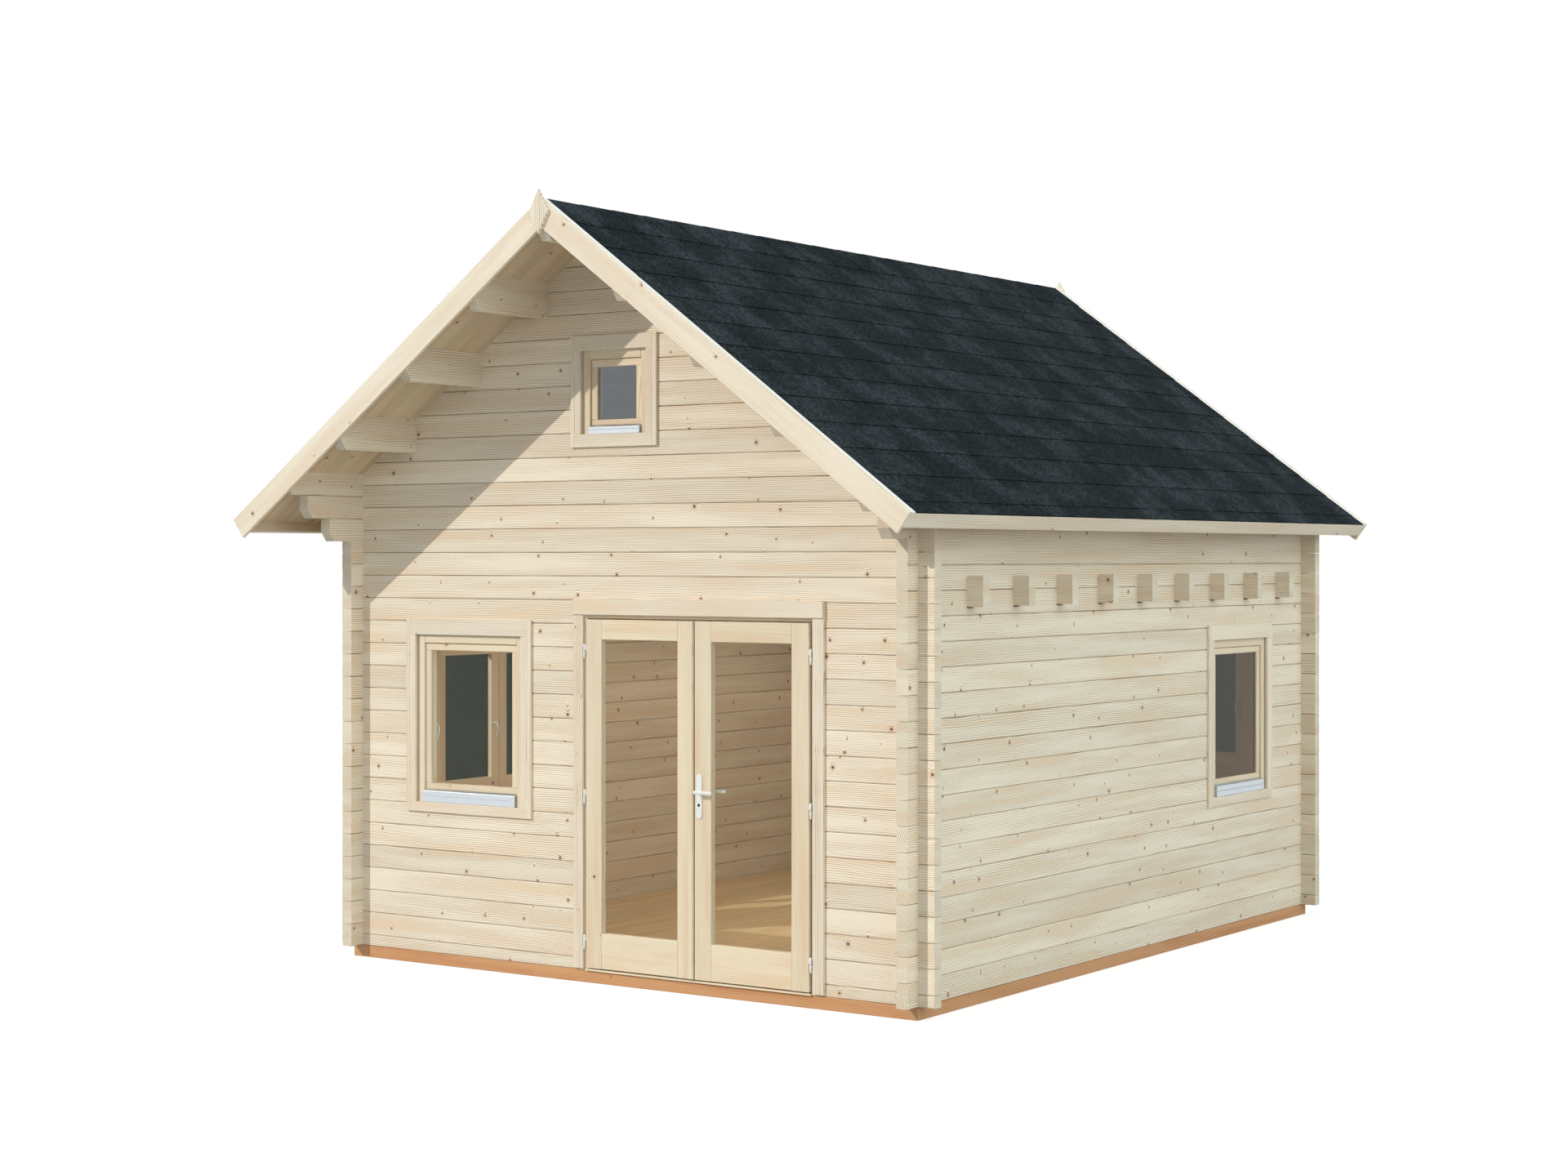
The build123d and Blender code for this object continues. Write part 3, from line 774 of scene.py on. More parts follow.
class Graph:
    """Adds and joins the nodes of one tree."""

    column = 220
    row = 240
    in_column = 5

    def __init__(self, tree: bpy.types.NodeTree) -> None:
        """Start on a tree without nodes."""
        self.tree = tree
        self.count = 0

    def node(self, kind: str, inputs: "dict | None" = None, **settings: object) -> bpy.types.Node:
        """Add a node.

        Args:
            kind: Its type.
            inputs: A value or a socket for each of its inputs, by name or number.
            settings: Values of its properties.

        Returns:
            The node.
        """
        made = self.tree.nodes.new(kind)
        column, row = divmod(self.count, self.in_column)
        made.location = (self.column * column, -self.row * row)
        self.count += 1
        for name, value in settings.items():
            setattr(made, name, value)
        for name, value in (inputs or {}).items():
            self.feed(made.inputs[name], value)
        return made

    def feed(self, socket: Socket, value: object) -> None:
        """Join a socket to another one, or set its value."""
        if isinstance(value, bpy.types.NodeSocket):
            self.tree.links.new(value, socket)
        elif socket.type == "RGBA":
            socket.default_value = (*value[:3], 1.0)
        else:
            socket.default_value = value

    def give(self, result: bpy.types.Node, **values: Socket) -> None:
        """Join sockets to a node's inputs by name."""
        for name, value in values.items():
            self.feed(result.inputs[name], value)

    def maths(self, operation: str, *values: object) -> Socket:
        """One sum of numbers."""
        return self.node("ShaderNodeMath", dict(enumerate(values)), operation=operation).outputs[0]

    def plus(self, first: object, second: object) -> Socket:
        """Two numbers added."""
        return self.maths("ADD", first, second)

    def minus(self, first: object, second: object) -> Socket:
        """The second number taken from the first."""
        return self.maths("SUBTRACT", first, second)

    def times(self, first: object, second: object) -> Socket:
        """Two numbers multiplied."""
        return self.maths("MULTIPLY", first, second)

    def linear(self, value: object, factor: float, shift: object) -> Socket:
        """A number times a factor, plus a shift."""
        return self.maths("MULTIPLY_ADD", value, factor, shift)

    def vector(self, operation: str, *values: object, output: int = 0) -> Socket:
        """One sum of vectors."""
        return self.node("ShaderNodeVectorMath", dict(enumerate(values)), operation=operation).outputs[output]

    def stretched(self, vector: object, *factors: float) -> Socket:
        """A vector with each coordinate times its own factor."""
        return self.vector("MULTIPLY", vector, factors)

    def split(self, vector: object) -> Sequence[Socket]:
        """The three coordinates of a vector."""
        return self.node("ShaderNodeSeparateXYZ", {"Vector": vector}).outputs

    def attribute(self, name: str, output: str) -> Socket:
        """An attribute of the mesh."""
        return self.node("ShaderNodeAttribute", attribute_name=name).outputs[output]

    def chance(self, seed: Socket) -> bpy.types.Node:
        """A random number and colour for a seed."""
        return self.node("ShaderNodeTexWhiteNoise", {"W": seed}, noise_dimensions="1D")

    def noise(self, vector: object, scale: float, detail: float = 2.0, rough: float = 0.5) -> Socket:
        """Fractal noise from 0 to 1."""
        inputs = {"Vector": vector, "Scale": scale, "Detail": detail, "Roughness": rough}
        return self.node("ShaderNodeTexNoise", inputs).outputs["Fac"]

    def between(
        self, value: object, low: float, high: float, to_low: float = 0.0, to_high: float = 1.0
    ) -> Socket:
        """A value carried from one range to another, clamped and eased."""
        inputs = {"Value": value, "From Min": low, "From Max": high, "To Min": to_low, "To Max": to_high}
        return self.node("ShaderNodeMapRange", inputs, interpolation_type="SMOOTHSTEP").outputs["Result"]

    def mix(self, factor: object, first: object, second: object, blend: str = "MIX") -> Socket:
        """Mix two colours."""
        inputs = {0: factor, 6: first, 7: second}
        return self.node("ShaderNodeMix", inputs, data_type="RGBA", blend_type=blend).outputs[2]

    def shaded(self, colour: object, tone: Socket) -> Socket:
        """A colour times a number."""
        grey = self.node("ShaderNodeCombineColor", {"Red": tone, "Green": tone, "Blue": tone}).outputs[0]
        return self.mix(1.0, colour, grey, "MULTIPLY")

    def bump(self, height: Socket, strength: float) -> Socket:
        """The normals of a relief whose height is in metres."""
        inputs = {"Height": height, "Distance": 1.0, "Strength": strength}
        return self.node("ShaderNodeBump", inputs).outputs[0]


def new_group(
    name: str, kind: str, inputs: dict[str, str], outputs: dict[str, str]
) -> tuple[Graph, Sequence[Socket], bpy.types.Node]:
    """Start a node group.

    Args:
        name: Its name.
        kind: Its tree type.
        inputs: Socket type of each input.
        outputs: Socket type of each output.

    Returns:
        Its graph, the sockets that it is given, and its output node.
    """
    tree = bpy.data.node_groups.new(name, kind)
    for way, sockets in (("INPUT", inputs), ("OUTPUT", outputs)):
        for label, socket in sockets.items():
            tree.interface.new_socket(label, in_out=way, socket_type=socket)
    graph = Graph(tree)
    return graph, graph.node("NodeGroupInput").outputs, graph.node("NodeGroupOutput")


def knots(graph: Graph, grain: Socket, seed: Socket, share: Socket) -> tuple[Socket, Socket]:
    """Find the nearest knot of a timber.

    Args:
        graph: The timber's graph.
        grain: Its grain attribute.
        seed: Its seed.
        share: Share of the possible places that hold a knot.

    Returns:
        The distance from the knot's middle over its radius, and 1 where there is a knot.
    """
    stretch = (3.1, 7.4, 1.0)
    shift = graph.node("ShaderNodeCombineXYZ", {"X": graph.times(seed, 5.13), "Y": graph.times(seed, 3.37)})
    flat = graph.stretched(grain, 1.0, 1.0, 0.0)
    place = graph.stretched(graph.vector("ADD", flat, shift.outputs[0]), *stretch)
    cells = graph.node(
        "ShaderNodeTexVoronoi", {"Vector": place, "Scale": 1.0, "Randomness": 0.85}, voronoi_dimensions="2D"
    )
    offset = graph.vector("SUBTRACT", place, cells.outputs["Position"])
    away = graph.vector("LENGTH", graph.stretched(offset, 1 / stretch[0], 1 / stretch[1], 0.0), output=1)
    pick, size, _ = graph.split(cells.outputs["Color"])
    uneven = graph.linear(graph.noise(place, 24.0), 0.7, 0.65)
    ratio = graph.maths("DIVIDE", graph.times(away, uneven), graph.linear(size, 0.0056, 0.0024))
    return ratio, graph.maths("LESS_THAN", pick, share)


def ring_lines(graph: Graph, grain: Socket, cut: Socket, chances: Sequence[Socket], pull: Socket) -> Socket:
    """Draw the dark lines of the yearly rings round a timber's heart.

    Args:
        graph: The timber's graph.
        grain: Its grain attribute.
        cut: 1 on its cut ends.
        chances: Three random numbers, for the heart's place and the rings' number.
        pull: How far the knots push the rings out.

    Returns:
        1 on a ring's dark line, 0 between the lines.
    """
    u, v, _ = graph.split(grain)
    sway = graph.linear(graph.noise(graph.stretched(grain, 1.0, 6.0, 4.7), 1.3), 0.034, -0.017)
    heart = graph.linear(chances[0], 0.30, -0.09)
    aside = graph.minus(graph.plus(v, sway), heart)
    slow = graph.noise(graph.stretched(grain, 1.0, 0.0, 9.1), 0.55, 1.0)
    depth = graph.linear(slow, 0.16, -0.045)
    over = graph.minus(u, graph.linear(chances[1], 0.08, -0.04))
    behind = graph.node("ShaderNodeMix", {0: cut, 2: depth, 3: over}).outputs[0]
    square = graph.plus(graph.times(aside, aside), graph.times(behind, behind))
    rings = graph.plus(graph.maths("SQRT", square), pull)
    step = graph.maths("FRACT", graph.times(rings, graph.linear(chances[2], 42.0, 78.0)))
    return graph.maths("POWER", graph.between(step, 1.0, 0.30, 1.0, 0.0), 1.9)


def timber_group() -> bpy.types.NodeTree:
    """Planed softwood: rings, cathedral figure, knots, streaks and fibres, from the grain attribute."""
    graph, given, result = new_group(
        "Timber figure", "ShaderNodeTree",
        {"Pale": COLOUR, "Deep": COLOUR, "Warm": COLOUR, "Knots": NUMBER, "Figure": NUMBER},
        {"Color": COLOUR, "Roughness": NUMBER, "Normal": VECTOR},
    )
    grain, cut = graph.attribute("grain", "Vector"), graph.attribute("cut", "Fac")
    seed = graph.split(grain)[2]
    chance = graph.chance(seed)
    ratio, present = knots(graph, grain, seed, given["Knots"])
    on_face = graph.times(present, graph.minus(1.0, cut))
    knot = graph.times(graph.between(ratio, 1.12, 0.80), on_face)
    halo = graph.times(graph.between(ratio, 3.4, 1.0), on_face)
    pull = graph.times(graph.between(ratio, 6.0, 0.6, 0.0, 0.013), present)
    late = ring_lines(graph, grain, cut, graph.split(chance.outputs["Color"]), pull)

    fibre = graph.noise(graph.stretched(grain, 7.0, 380.0, 3.0), 1.0, 2.0, 0.6)
    patch = graph.noise(graph.stretched(grain, 0.9, 11.0, 3.1), 1.0, 3.0, 0.55)
    faint = graph.times(graph.between(patch, 0.30, 0.62, 0.35, 1.0), given["Figure"])
    base = graph.mix(graph.times(late, faint), given["Pale"], given["Deep"])
    base = graph.mix(graph.between(patch, 0.50, 0.72, 0.0, 0.55), base, given["Warm"])
    tone = graph.times(graph.linear(chance.outputs["Value"], 0.13, 0.915), graph.linear(fibre, 0.10, 0.95))
    base = graph.shaded(base, tone)
    base = graph.mix(graph.times(cut, 0.14), base, srgb(158, 156, 134))
    base = graph.mix(graph.times(halo, 0.46), base, srgb(184, 128, 84))
    base = graph.mix(graph.times(knot, 0.94), base, srgb(76, 46, 28))
    rough = graph.linear(knot, -0.14, graph.linear(fibre, 0.16, 0.56))
    relief = graph.plus(graph.times(fibre, 0.00012), graph.times(late, 0.00006))
    relief = graph.plus(relief, graph.times(knot, 0.0003))
    graph.give(result, Color=base, Roughness=rough, Normal=graph.bump(relief, 0.8))
    return graph.tree


def grit_group() -> bpy.types.NodeTree:
    """Mineral grit on bitumen, with pale worn patches and painted shade on the edges that the cut attribute
    marks, from Object coordinates.
    """
    graph, given, result = new_group(
        "Grit", "ShaderNodeTree", {"Dark": COLOUR, "Worn": COLOUR},
        {"Color": COLOUR, "Roughness": NUMBER, "Normal": VECTOR},
    )
    place = graph.node("ShaderNodeTexCoord").outputs["Object"]
    cut = graph.attribute("cut", "Fac")
    tab = graph.chance(graph.split(graph.attribute("grain", "Vector"))[2]).outputs["Value"]
    grains = graph.between(graph.noise(place, 44.0, 4.0, 0.85), 0.40, 0.60)
    clumps = graph.noise(place, 46.0, 4.0, 0.65)
    patches = graph.between(graph.noise(place, 3.1, 4.0, 0.6), 0.42, 0.64, 0.0, 0.75)
    worn = graph.plus(patches, graph.between(clumps, 0.48, 0.70, 0.0, 0.35))
    base = graph.mix(worn, given["Dark"], given["Worn"])
    tone = graph.times(graph.linear(tab, 0.24, 0.88), graph.linear(grains, 1.1, 0.42))
    # Painted shade: the cut attribute darkens the tabs' lower edges almost to black and their side slots
    # less, standing in for the shadow lines between and under the courses.
    tone = graph.times(tone, graph.linear(cut, -0.92, 1.0))
    relief = graph.plus(graph.times(grains, 0.0007), graph.times(clumps, 0.0012))
    rough = graph.linear(grains, 0.15, 0.80)
    graph.give(result, Color=graph.shaded(base, tone), Roughness=rough, Normal=graph.bump(relief, 0.7))
    return graph.tree


def mottle_group() -> bpy.types.NodeTree:
    """Faint mottling of a smooth finish, from Object coordinates."""
    graph, given, result = new_group(
        "Mottle", "ShaderNodeTree", {"Tint": COLOUR, "Roughness": NUMBER, "Spread": NUMBER},
        {"Color": COLOUR, "Roughness": NUMBER},
    )
    place = graph.node("ShaderNodeTexCoord").outputs["Object"]
    tone = graph.linear(graph.noise(place, 18.0, 4.0, 0.6), 0.10, 0.95)
    fine = graph.noise(graph.stretched(place, 1.0, 1.0, 30.0), 40.0)
    spread = graph.times(graph.minus(fine, 0.5), given["Spread"])
    rough = graph.plus(given["Roughness"], spread)
    graph.give(result, Color=graph.shaded(given["Tint"], tone), Roughness=rough)
    return graph.tree


# Finishes


@dataclass(frozen=True)
class Finish:
    """A finished material and the slot that it fills."""

    material: bpy.types.Material
    slot: Slot


def new_material(name: str) -> tuple[bpy.types.Material, Graph]:
    """Start a material with an empty tree."""
    made = bpy.data.materials.new(name)
    made.use_nodes = True
    made.node_tree.nodes.clear()
    return made, Graph(made.node_tree)


def group_finish(
    name: str, slot: Slot, group: bpy.types.NodeTree, inputs: dict[str, object], values: dict[str, float]
) -> Finish:
    """Make a finish whose colour, roughness and relief come from a node group.

    Args:
        name: The material's name.
        slot: The record's slot.
        group: The node group.
        inputs: A value for each of the group's inputs.
        values: Values of the other inputs of the Principled node.

    Returns:
        The finish.
    """
    made, graph = new_material(name)
    looks = graph.node("ShaderNodeGroup", inputs, node_tree=group)
    shader = graph.node("ShaderNodeBsdfPrincipled", values)
    for output in looks.outputs:
        graph.feed(shader.inputs["Base Color" if output.name == "Color" else output.name], output)
    graph.node("ShaderNodeOutputMaterial", {"Surface": shader.outputs[0]})
    return Finish(made, slot)


@dataclass(frozen=True)
class TimberFinish:
    """A timber's colours.

    Attributes:
        name: The material's name.
        slot: The record's slot.
        pale: Colour between the ring lines.
        deep: Colour of the ring lines.
        warm: Colour of the streaks.
        knots: Share of the possible places that hold a knot.
        figure: Strength of the ring lines.
        sheen: Strength of the specular reflection.
    """

    name: str
    slot: Slot
    pale: Shade
    deep: Shade
    warm: Shade
    knots: float
    figure: float
    sheen: float = 0.35

    def make(self, group: bpy.types.NodeTree) -> Finish:
        """Make the finish from the timber group."""
        inputs = {"Pale": srgb(*self.pale), "Deep": srgb(*self.deep), "Warm": srgb(*self.warm)}
        inputs |= {"Knots": self.knots, "Figure": self.figure}
        return group_finish(self.name, self.slot, group, inputs, {"Specular IOR Level": self.sheen})


@dataclass(frozen=True)
class SmoothFinish:
    """A painted or metal finish, whose roughness varies by its spread."""

    name: str
    slot: Slot
    tint: Shade
    roughness: float
    spread: float
    metallic: float = 0.0
    coat: float = 0.0

    def make(self, group: bpy.types.NodeTree) -> Finish:
        """Make the finish from the mottle group."""
        inputs = {"Tint": srgb(*self.tint), "Roughness": self.roughness, "Spread": self.spread}
        values = {"Metallic": self.metallic, "Coat Weight": self.coat}
        return group_finish(self.name, self.slot, group, inputs, values)


@dataclass(frozen=True)
class GritFinish:
    """The shingles' mineral face, dark and worn."""

    name: str
    slot: Slot
    dark: Shade
    worn: Shade
    sheen: float = 0.02

    def make(self, group: bpy.types.NodeTree) -> Finish:
        """Make the finish from the grit group."""
        inputs = {"Dark": srgb(*self.dark), "Worn": srgb(*self.worn)}
        return group_finish(self.name, self.slot, group, inputs, {"Specular IOR Level": self.sheen})


@dataclass(frozen=True)
class GlassFinish:
    """A window's glass, which lets the sun through.

    Attributes:
        name: The material's name.
        tint: Colour of what is seen through it. A dark or grey tint is painted shade of the dim room beyond;
            a bluish one is a painted sky reflection.
        mirror: Strength of the mirroring coat.
        shade: Colour of the light that comes in through it.
        index: Refractive index of the glass.
        coat_index: Refractive index of the coat.
    """

    name: str
    tint: Shade
    mirror: float = 0.0
    shade: Colour = (0.92, 0.95, 0.94)
    index: float = 1.18
    coat_index: float = 2.0

    def make(self) -> Finish:
        """Make the finish: clear for shadow rays, so that light comes in."""
        made, graph = new_material(self.name)
        shader = graph.node("ShaderNodeBsdfPrincipled", {
            "Base Color": srgb(*self.tint), "Roughness": 0.0, "Transmission Weight": 1.0,
            "IOR": self.index, "Coat Weight": self.mirror, "Coat IOR": self.coat_index,
        })
        shadow = graph.node("ShaderNodeLightPath").outputs["Is Shadow Ray"]
        clear = graph.node("ShaderNodeBsdfTransparent", {"Color": self.shade})
        both = graph.node("ShaderNodeMixShader", {0: shadow, 1: shader.outputs[0], 2: clear.outputs[0]})
        graph.node("ShaderNodeOutputMaterial", {"Surface": both.outputs[0]})
        return Finish(made, Slot.GLASS)


class Finishes:
    """All the finishes of the house."""

    def __init__(self) -> None:
        """Make every finish."""
        timber, mottle = timber_group(), mottle_group()
        self.logs = TimberFinish(
            "Spruce logs", Slot.SPRUCE, (244, 233, 213), (156, 112, 68), (230, 202, 168), 0.60, 0.96
        ).make(timber)
        self.trim = TimberFinish(
            "Spruce boards", Slot.TRIM, (241, 230, 211), (172, 128, 84), (232, 206, 174), 0.42, 0.82
        ).make(timber)
        # A paler copy of the board timber: painted highlight for the sunlit tops of the strips over the
        # shingles' edge.
        self.strip = TimberFinish(
            "Cover strips with painted highlight", Slot.TRIM, (255, 253, 247), (238, 218, 192), (252, 242, 224), 0.10, 0.40
        ).make(timber)
        self.joinery = TimberFinish(
            "Joinery", Slot.JOINERY, (238, 223, 197), (186, 148, 106), (226, 194, 158), 0.12, 0.66
        ).make(timber)
        self.boards = TimberFinish(
            "Roof boards", Slot.SPRUCE, (220, 202, 172), (180, 146, 106), (206, 172, 138), 0.40, 0.50
        ).make(timber)
        self.floor = TimberFinish(
            "Floor boards", Slot.FLOOR, (228, 200, 156), (196, 152, 104), (216, 168, 120), 0.26, 0.60
        ).make(timber)
        self.treated = TimberFinish(
            "Treated beams", Slot.TREATED, (212, 160, 114), (156, 100, 60), (188, 122, 76), 0.24, 0.80
        ).make(timber)
        grit = GritFinish("Shingle grit", Slot.SHINGLE, (33, 39, 42), (55, 62, 66))
        self.shingle = grit.make(grit_group())
        self.glass = GlassFinish("Clear glass", (246, 250, 248)).make()
        # Painted shade: the dark and grey tints darken what is seen through the left, back and right panes,
        # standing in for the dim room and far windows; the bluish loft tint is a painted sky reflection.
        self.shade_painted_glass = GlassFinish("Glass with painted shade", (54, 57, 50)).make()
        self.side_shade_painted_glass = GlassFinish("Side glass with painted shade", (150, 146, 138)).make()
        self.gable_reflection_glass = GlassFinish("Loft glass with painted reflection", (170, 182, 194), mirror=1.0).make()
        drip = SmoothFinish("Drip profile", Slot.DRIP, (198, 204, 210), 0.38, 0.16, metallic=0.9)
        self.drip = drip.make(mottle)
        metal = SmoothFinish("White metal", Slot.METAL, (232, 233, 230), 0.30, 0.10, coat=0.3)
        self.metal = metal.make(mottle)


# Rows


class Rows:
    """Repeats a piece in even steps by geometry nodes, each with its own stretch of grain."""

    slide = 3.0
    seeds = 60.0

    def __init__(self) -> None:
        """Make the node group that repeats a piece along a line."""
        graph, given, result = new_group(
            "Row of pieces", "GeometryNodeTree",
            {"Geometry": GEOMETRY, "Count": "NodeSocketInt", "Step": VECTOR, "Seed": "NodeSocketInt",
             "Slide": NUMBER, "Material": "NodeSocketMaterial"},
            {"Geometry": GEOMETRY},
        )

        def store(geometry: Socket, name: str, domain: str, value: Socket) -> Socket:
            """Store a vector as an attribute of a geometry."""
            inputs = {"Geometry": geometry, "Name": name, "Value": value}
            kind = "GeometryNodeStoreNamedAttribute"
            return graph.node(kind, inputs, data_type="FLOAT_VECTOR", domain=domain).outputs[0]

        def named(name: str) -> Socket:
            """Read a vector attribute."""
            kind = "GeometryNodeInputNamedAttribute"
            return graph.node(kind, {"Name": name}, data_type="FLOAT_VECTOR").outputs[0]

        spacing = {"Count": given["Count"], "Offset": given["Step"]}
        line = graph.node("GeometryNodeMeshLine", spacing, mode="OFFSET")
        points = {"Points": line.outputs[0], "Instance": given["Geometry"]}
        copies = graph.node("GeometryNodeInstanceOnPoints", points)
        far = graph.node("ShaderNodeCombineXYZ", {"X": given["Slide"], "Z": self.seeds})
        chance = graph.node(
            "FunctionNodeRandomValue", {"Min": (0.0, 0.0, 0.0), "Max": far.outputs[0], "Seed": given["Seed"]},
            data_type="FLOAT_VECTOR",
        )
        marked = store(copies.outputs[0], "piece", "INSTANCE", chance.outputs["Value"])
        real = graph.node("GeometryNodeRealizeInstances", {"Geometry": marked})
        shifted = graph.vector("ADD", named("grain"), named("piece"))
        stored = store(real.outputs[0], "grain", "CORNER", shifted)
        cleared = graph.node("GeometryNodeRemoveAttribute", {"Geometry": stored, "Name": "piece"})
        paint = {"Geometry": cleared.outputs[0], "Material": given["Material"]}
        graph.feed(result.inputs[0], graph.node("GeometryNodeSetMaterial", paint).outputs[0])
        self.tree = graph.tree
        items = graph.tree.interface.items_tree
        self.keys = {item.name: item.identifier for item in items if item.in_out == "INPUT"}

    def repeat(self, piece: bpy.types.Object, runs: Sequence[Run], seed: int) -> None:
        """Repeat an object's mesh in place.

        Args:
            piece: The first piece, which becomes the whole row.
            runs: How many pieces, and the step between them, of each row in turn.
            seed: Seed of the grain's shifts.
        """
        material = piece.data.materials[0]
        for number, (count, step) in enumerate(runs):
            row = piece.modifiers.new(f"Row {number}", "NODES")
            row.node_group = self.tree
            values = {"Count": count, "Step": step, "Seed": seed + number, "Slide": self.slide}
            for label, value in (values | {"Material": material}).items():
                row[self.keys[label]] = value
        piece.update_tag()
        graph = bpy.context.evaluated_depsgraph_get()
        whole = bpy.data.meshes.new_from_object(piece.evaluated_get(graph), depsgraph=graph)
        whole.name = piece.name
        piece.modifiers.clear()
        piece.data = whole
        log.info("  %s: row of %s, %d faces", piece.name, [count for count, _ in runs], len(whole.polygons))


# Pieces


class Maker:
    """What all the makers share: the finishes, the rows, and the handing over of finished pieces."""

    made: list[bpy.types.Object] = []

    def __init__(self, finishes: Finishes, rows: Rows) -> None:
        """Take what the pieces are made with."""
        self.finishes = finishes
        self.rows = rows

    def piece(
        self, stock: Stock, name: str, finish: Finish, nodes: Sequence[str] = (), body: Body = Body.HOUSE,
        runs: Sequence[Run] = (), seed: int = 0,
    ) -> None:
        """Build a piece and hand it over.

        Args:
            stock: What it is made of.
            name: Its name.
            finish: Its finish.
            nodes: The CAD nodes that it stands for.
            body: The body that it rides on.
            runs: The rows that repeat it.
            seed: Seed of the rows.
        """
        built = stock.build(name, finish.material)
        if runs:
            self.rows.repeat(built, runs, seed)
        self.hand_over(built, finish.slot, nodes, body)

    def hand_over(self, piece: bpy.types.Object, slot: Slot, nodes: Sequence[str], body: Body) -> None:
        """Put a finished piece on its body, in the place of CAD nodes.

        Args:
            piece: The piece.
            slot: Its slot; not used.
            nodes: The CAD nodes that it stands for.
            body: The body that it rides on.
        """
        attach(piece, body.value)
        if nodes:
            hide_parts(*nodes)
        Maker.made.append(piece)
        log.info("made %s: %d faces on %s", piece.name, len(piece.data.polygons), body.value)


def wall_hole(window: WindowSizes, side: int) -> Hole:
    """A window's hole along its wall's axis, which runs to the left seen from outside where side is -1."""
    left, right, base, top = window.hole
    return (*sorted((side * left, side * right)), base, top)


class WallMaker(Maker):
    """The log walls, the foundation, the floor and the loft."""

    across_axes = Axes(Vector((0, 0, 0)), Vector((1, 0, 0)), Vector((0, 1, 0)))
    along_axes = Axes(Vector((0, 0, 0)), Vector((0, 1, 0)), Vector((-1, 0, 0)))
    floor_axes = Axes(Vector((0, 0, 0)), Vector((0, 1, 0)), Vector((0, 0, 1)))

    def make(self) -> None:
        """Make every piece of the walls and floors."""
        self.foundation()
        self.cross_wall("front_wall_logs", WALL.front, ("front", "gable"), True)
        self.cross_wall("back_wall_logs", WALL.back - WALL.thickness, ("back",), False)
        self.side_wall("right_wall_logs", 1)
        self.side_wall("left_wall_logs", -1)
        self.floors()
        self.loft()

    def foundation(self) -> None:
        """Four beams on the ground, each with eased edges."""
        half, inner, beam = WALL.half_width, WALL.half_width - FLOOR.beam, FLOOR.beam
        for side, name in ((-1, "foundation_left"), (1, "foundation_right")):
            stock = Stock()
            across = tuple(sorted((-side * half, -side * inner)))
            stock.squared(self.along_axes, (WALL.front, WALL.back), across, (0, beam), 3 + side)
            self.piece(stock, f"{name}_beam", self.finishes.treated, [name])
        for start, name in ((WALL.front, "foundation_front"), (WALL.back - beam, "foundation_back")):
            stock = Stock()
            stock.squared(self.across_axes, (-inner, inner), (start, start + beam), (0, beam), 7 + start)
            self.piece(stock, f"{name}_beam", self.finishes.treated, [name])

    def cross_wall(self, name: str, near: float, openings: Sequence[str], doorway: bool) -> None:
        """Make a wall across the house, with its gable.

        Args:
            name: The piece's name.
            near: The wall's face towards the front.
            openings: Names of the windows in it.
            doorway: Whether the doorway is in it.
        """
        side, seed, nodes = -1, 47.9, ["back_wall"]
        if doorway:
            side, seed, nodes = 1, 11.3, ["front_wall_left", "front_wall_right", "front_gable"]
        holes = [wall_hole(window, side) for window in WINDOWS if window.name in openings]
        if doorway:
            holes.append((DOOR.hole_left, DOOR.hole_right, 0.0, DOOR.hole_top))
        apex = WALL.under_roof(0) - WALL.apex_gap

        def extent(z: float) -> Span:
            """Where a log starts and stops at a height."""
            reach = min(WALL.tail_end, WALL.roof_x(z))
            return -reach, reach

        joints = [WALL.base, *steps(WALL.base + WALL.log_height / 2, apex, WALL.log_height)]
        faces = (near, near + WALL.thickness)
        corner = WALL.under_roof(WALL.tail_end)
        logs = Courses(self.across_axes, faces, joints, extent, holes, breaks=[corner], seed=seed)
        self.piece(logs.cut(), name, self.finishes.logs, nodes)

    def side_wall(self, name: str, side: int) -> None:
        """Make a wall along the house, its upper logs stepping out as brackets.

        Args:
            name: The piece's name.
            side: 1 for the right wall, -1 for the left one.
        """
        wall, gap = "right" if side > 0 else "left", FLOOR.joist_gap
        holes = [wall_hole(next(window for window in WINDOWS if window.name == wall), side)]
        for number in range(FLOOR.joists):
            near = FLOOR.loft_joist_start + number * FLOOR.joist_step
            far = near + FLOOR.loft_joist
            holes.append((near + gap, far - gap, FLOOR.joist_base - FLOOR.joist_slot, FLOOR.loft - gap))
        joints = [WALL.base + WALL.log_height * i for i in range(WALL.side_logs)]

        def extent(z: float) -> Span:
            """Where a log starts and stops at a height.

            Args:
                z: The height.

            Returns:
                Its front and back end along the house.
            """
            front, back = WALL.front - WALL.tail, WALL.back + WALL.tail
            for height, front_reach, back_reach in WALL.brackets:
                if z >= height:
                    inward = WALL.cut_length * max(0.0, 1 - (z - height) / WALL.cut_height)
                    front = WALL.front - front_reach + inward
                    back = WALL.back + back_reach - (inward if back_reach > WALL.tail else 0.0)
            return front, back

        logs = Courses(
            self.along_axes, tuple(sorted((-side * WALL.inner, -side * WALL.half_width))),
            [*joints, WALL.under_roof(WALL.half_width)], extent, holes, seed=23.1 + side,
            breaks=[height + WALL.cut_height for height, _, _ in WALL.brackets],
            lid=lambda s: WALL.under_roof(s) - WALL.lid_gap, closed=[joints[WALL.closed_joint]],
        )
        self.piece(logs.cut(), name, self.finishes.logs, [f"{wall}_wall"])

    def boarding(self, base: float, joints: Sequence[float], holes: Sequence[Hole], seed: float) -> Stock:
        """Lay the boards of a floor.

        Args:
            base: Height of their underside.
            joints: Where they meet.
            holes: Holes through them.
            seed: What their figure and tones come from.

        Returns:
            The boards.
        """
        return Courses(
            self.floor_axes, (base, base + FLOOR.board), joints, lambda t: (FLOOR.front, FLOOR.back), holes,
            gap=FLOOR.board_gap, chamfer=FLOOR.board_chamfer, seed=seed,
        ).cut()

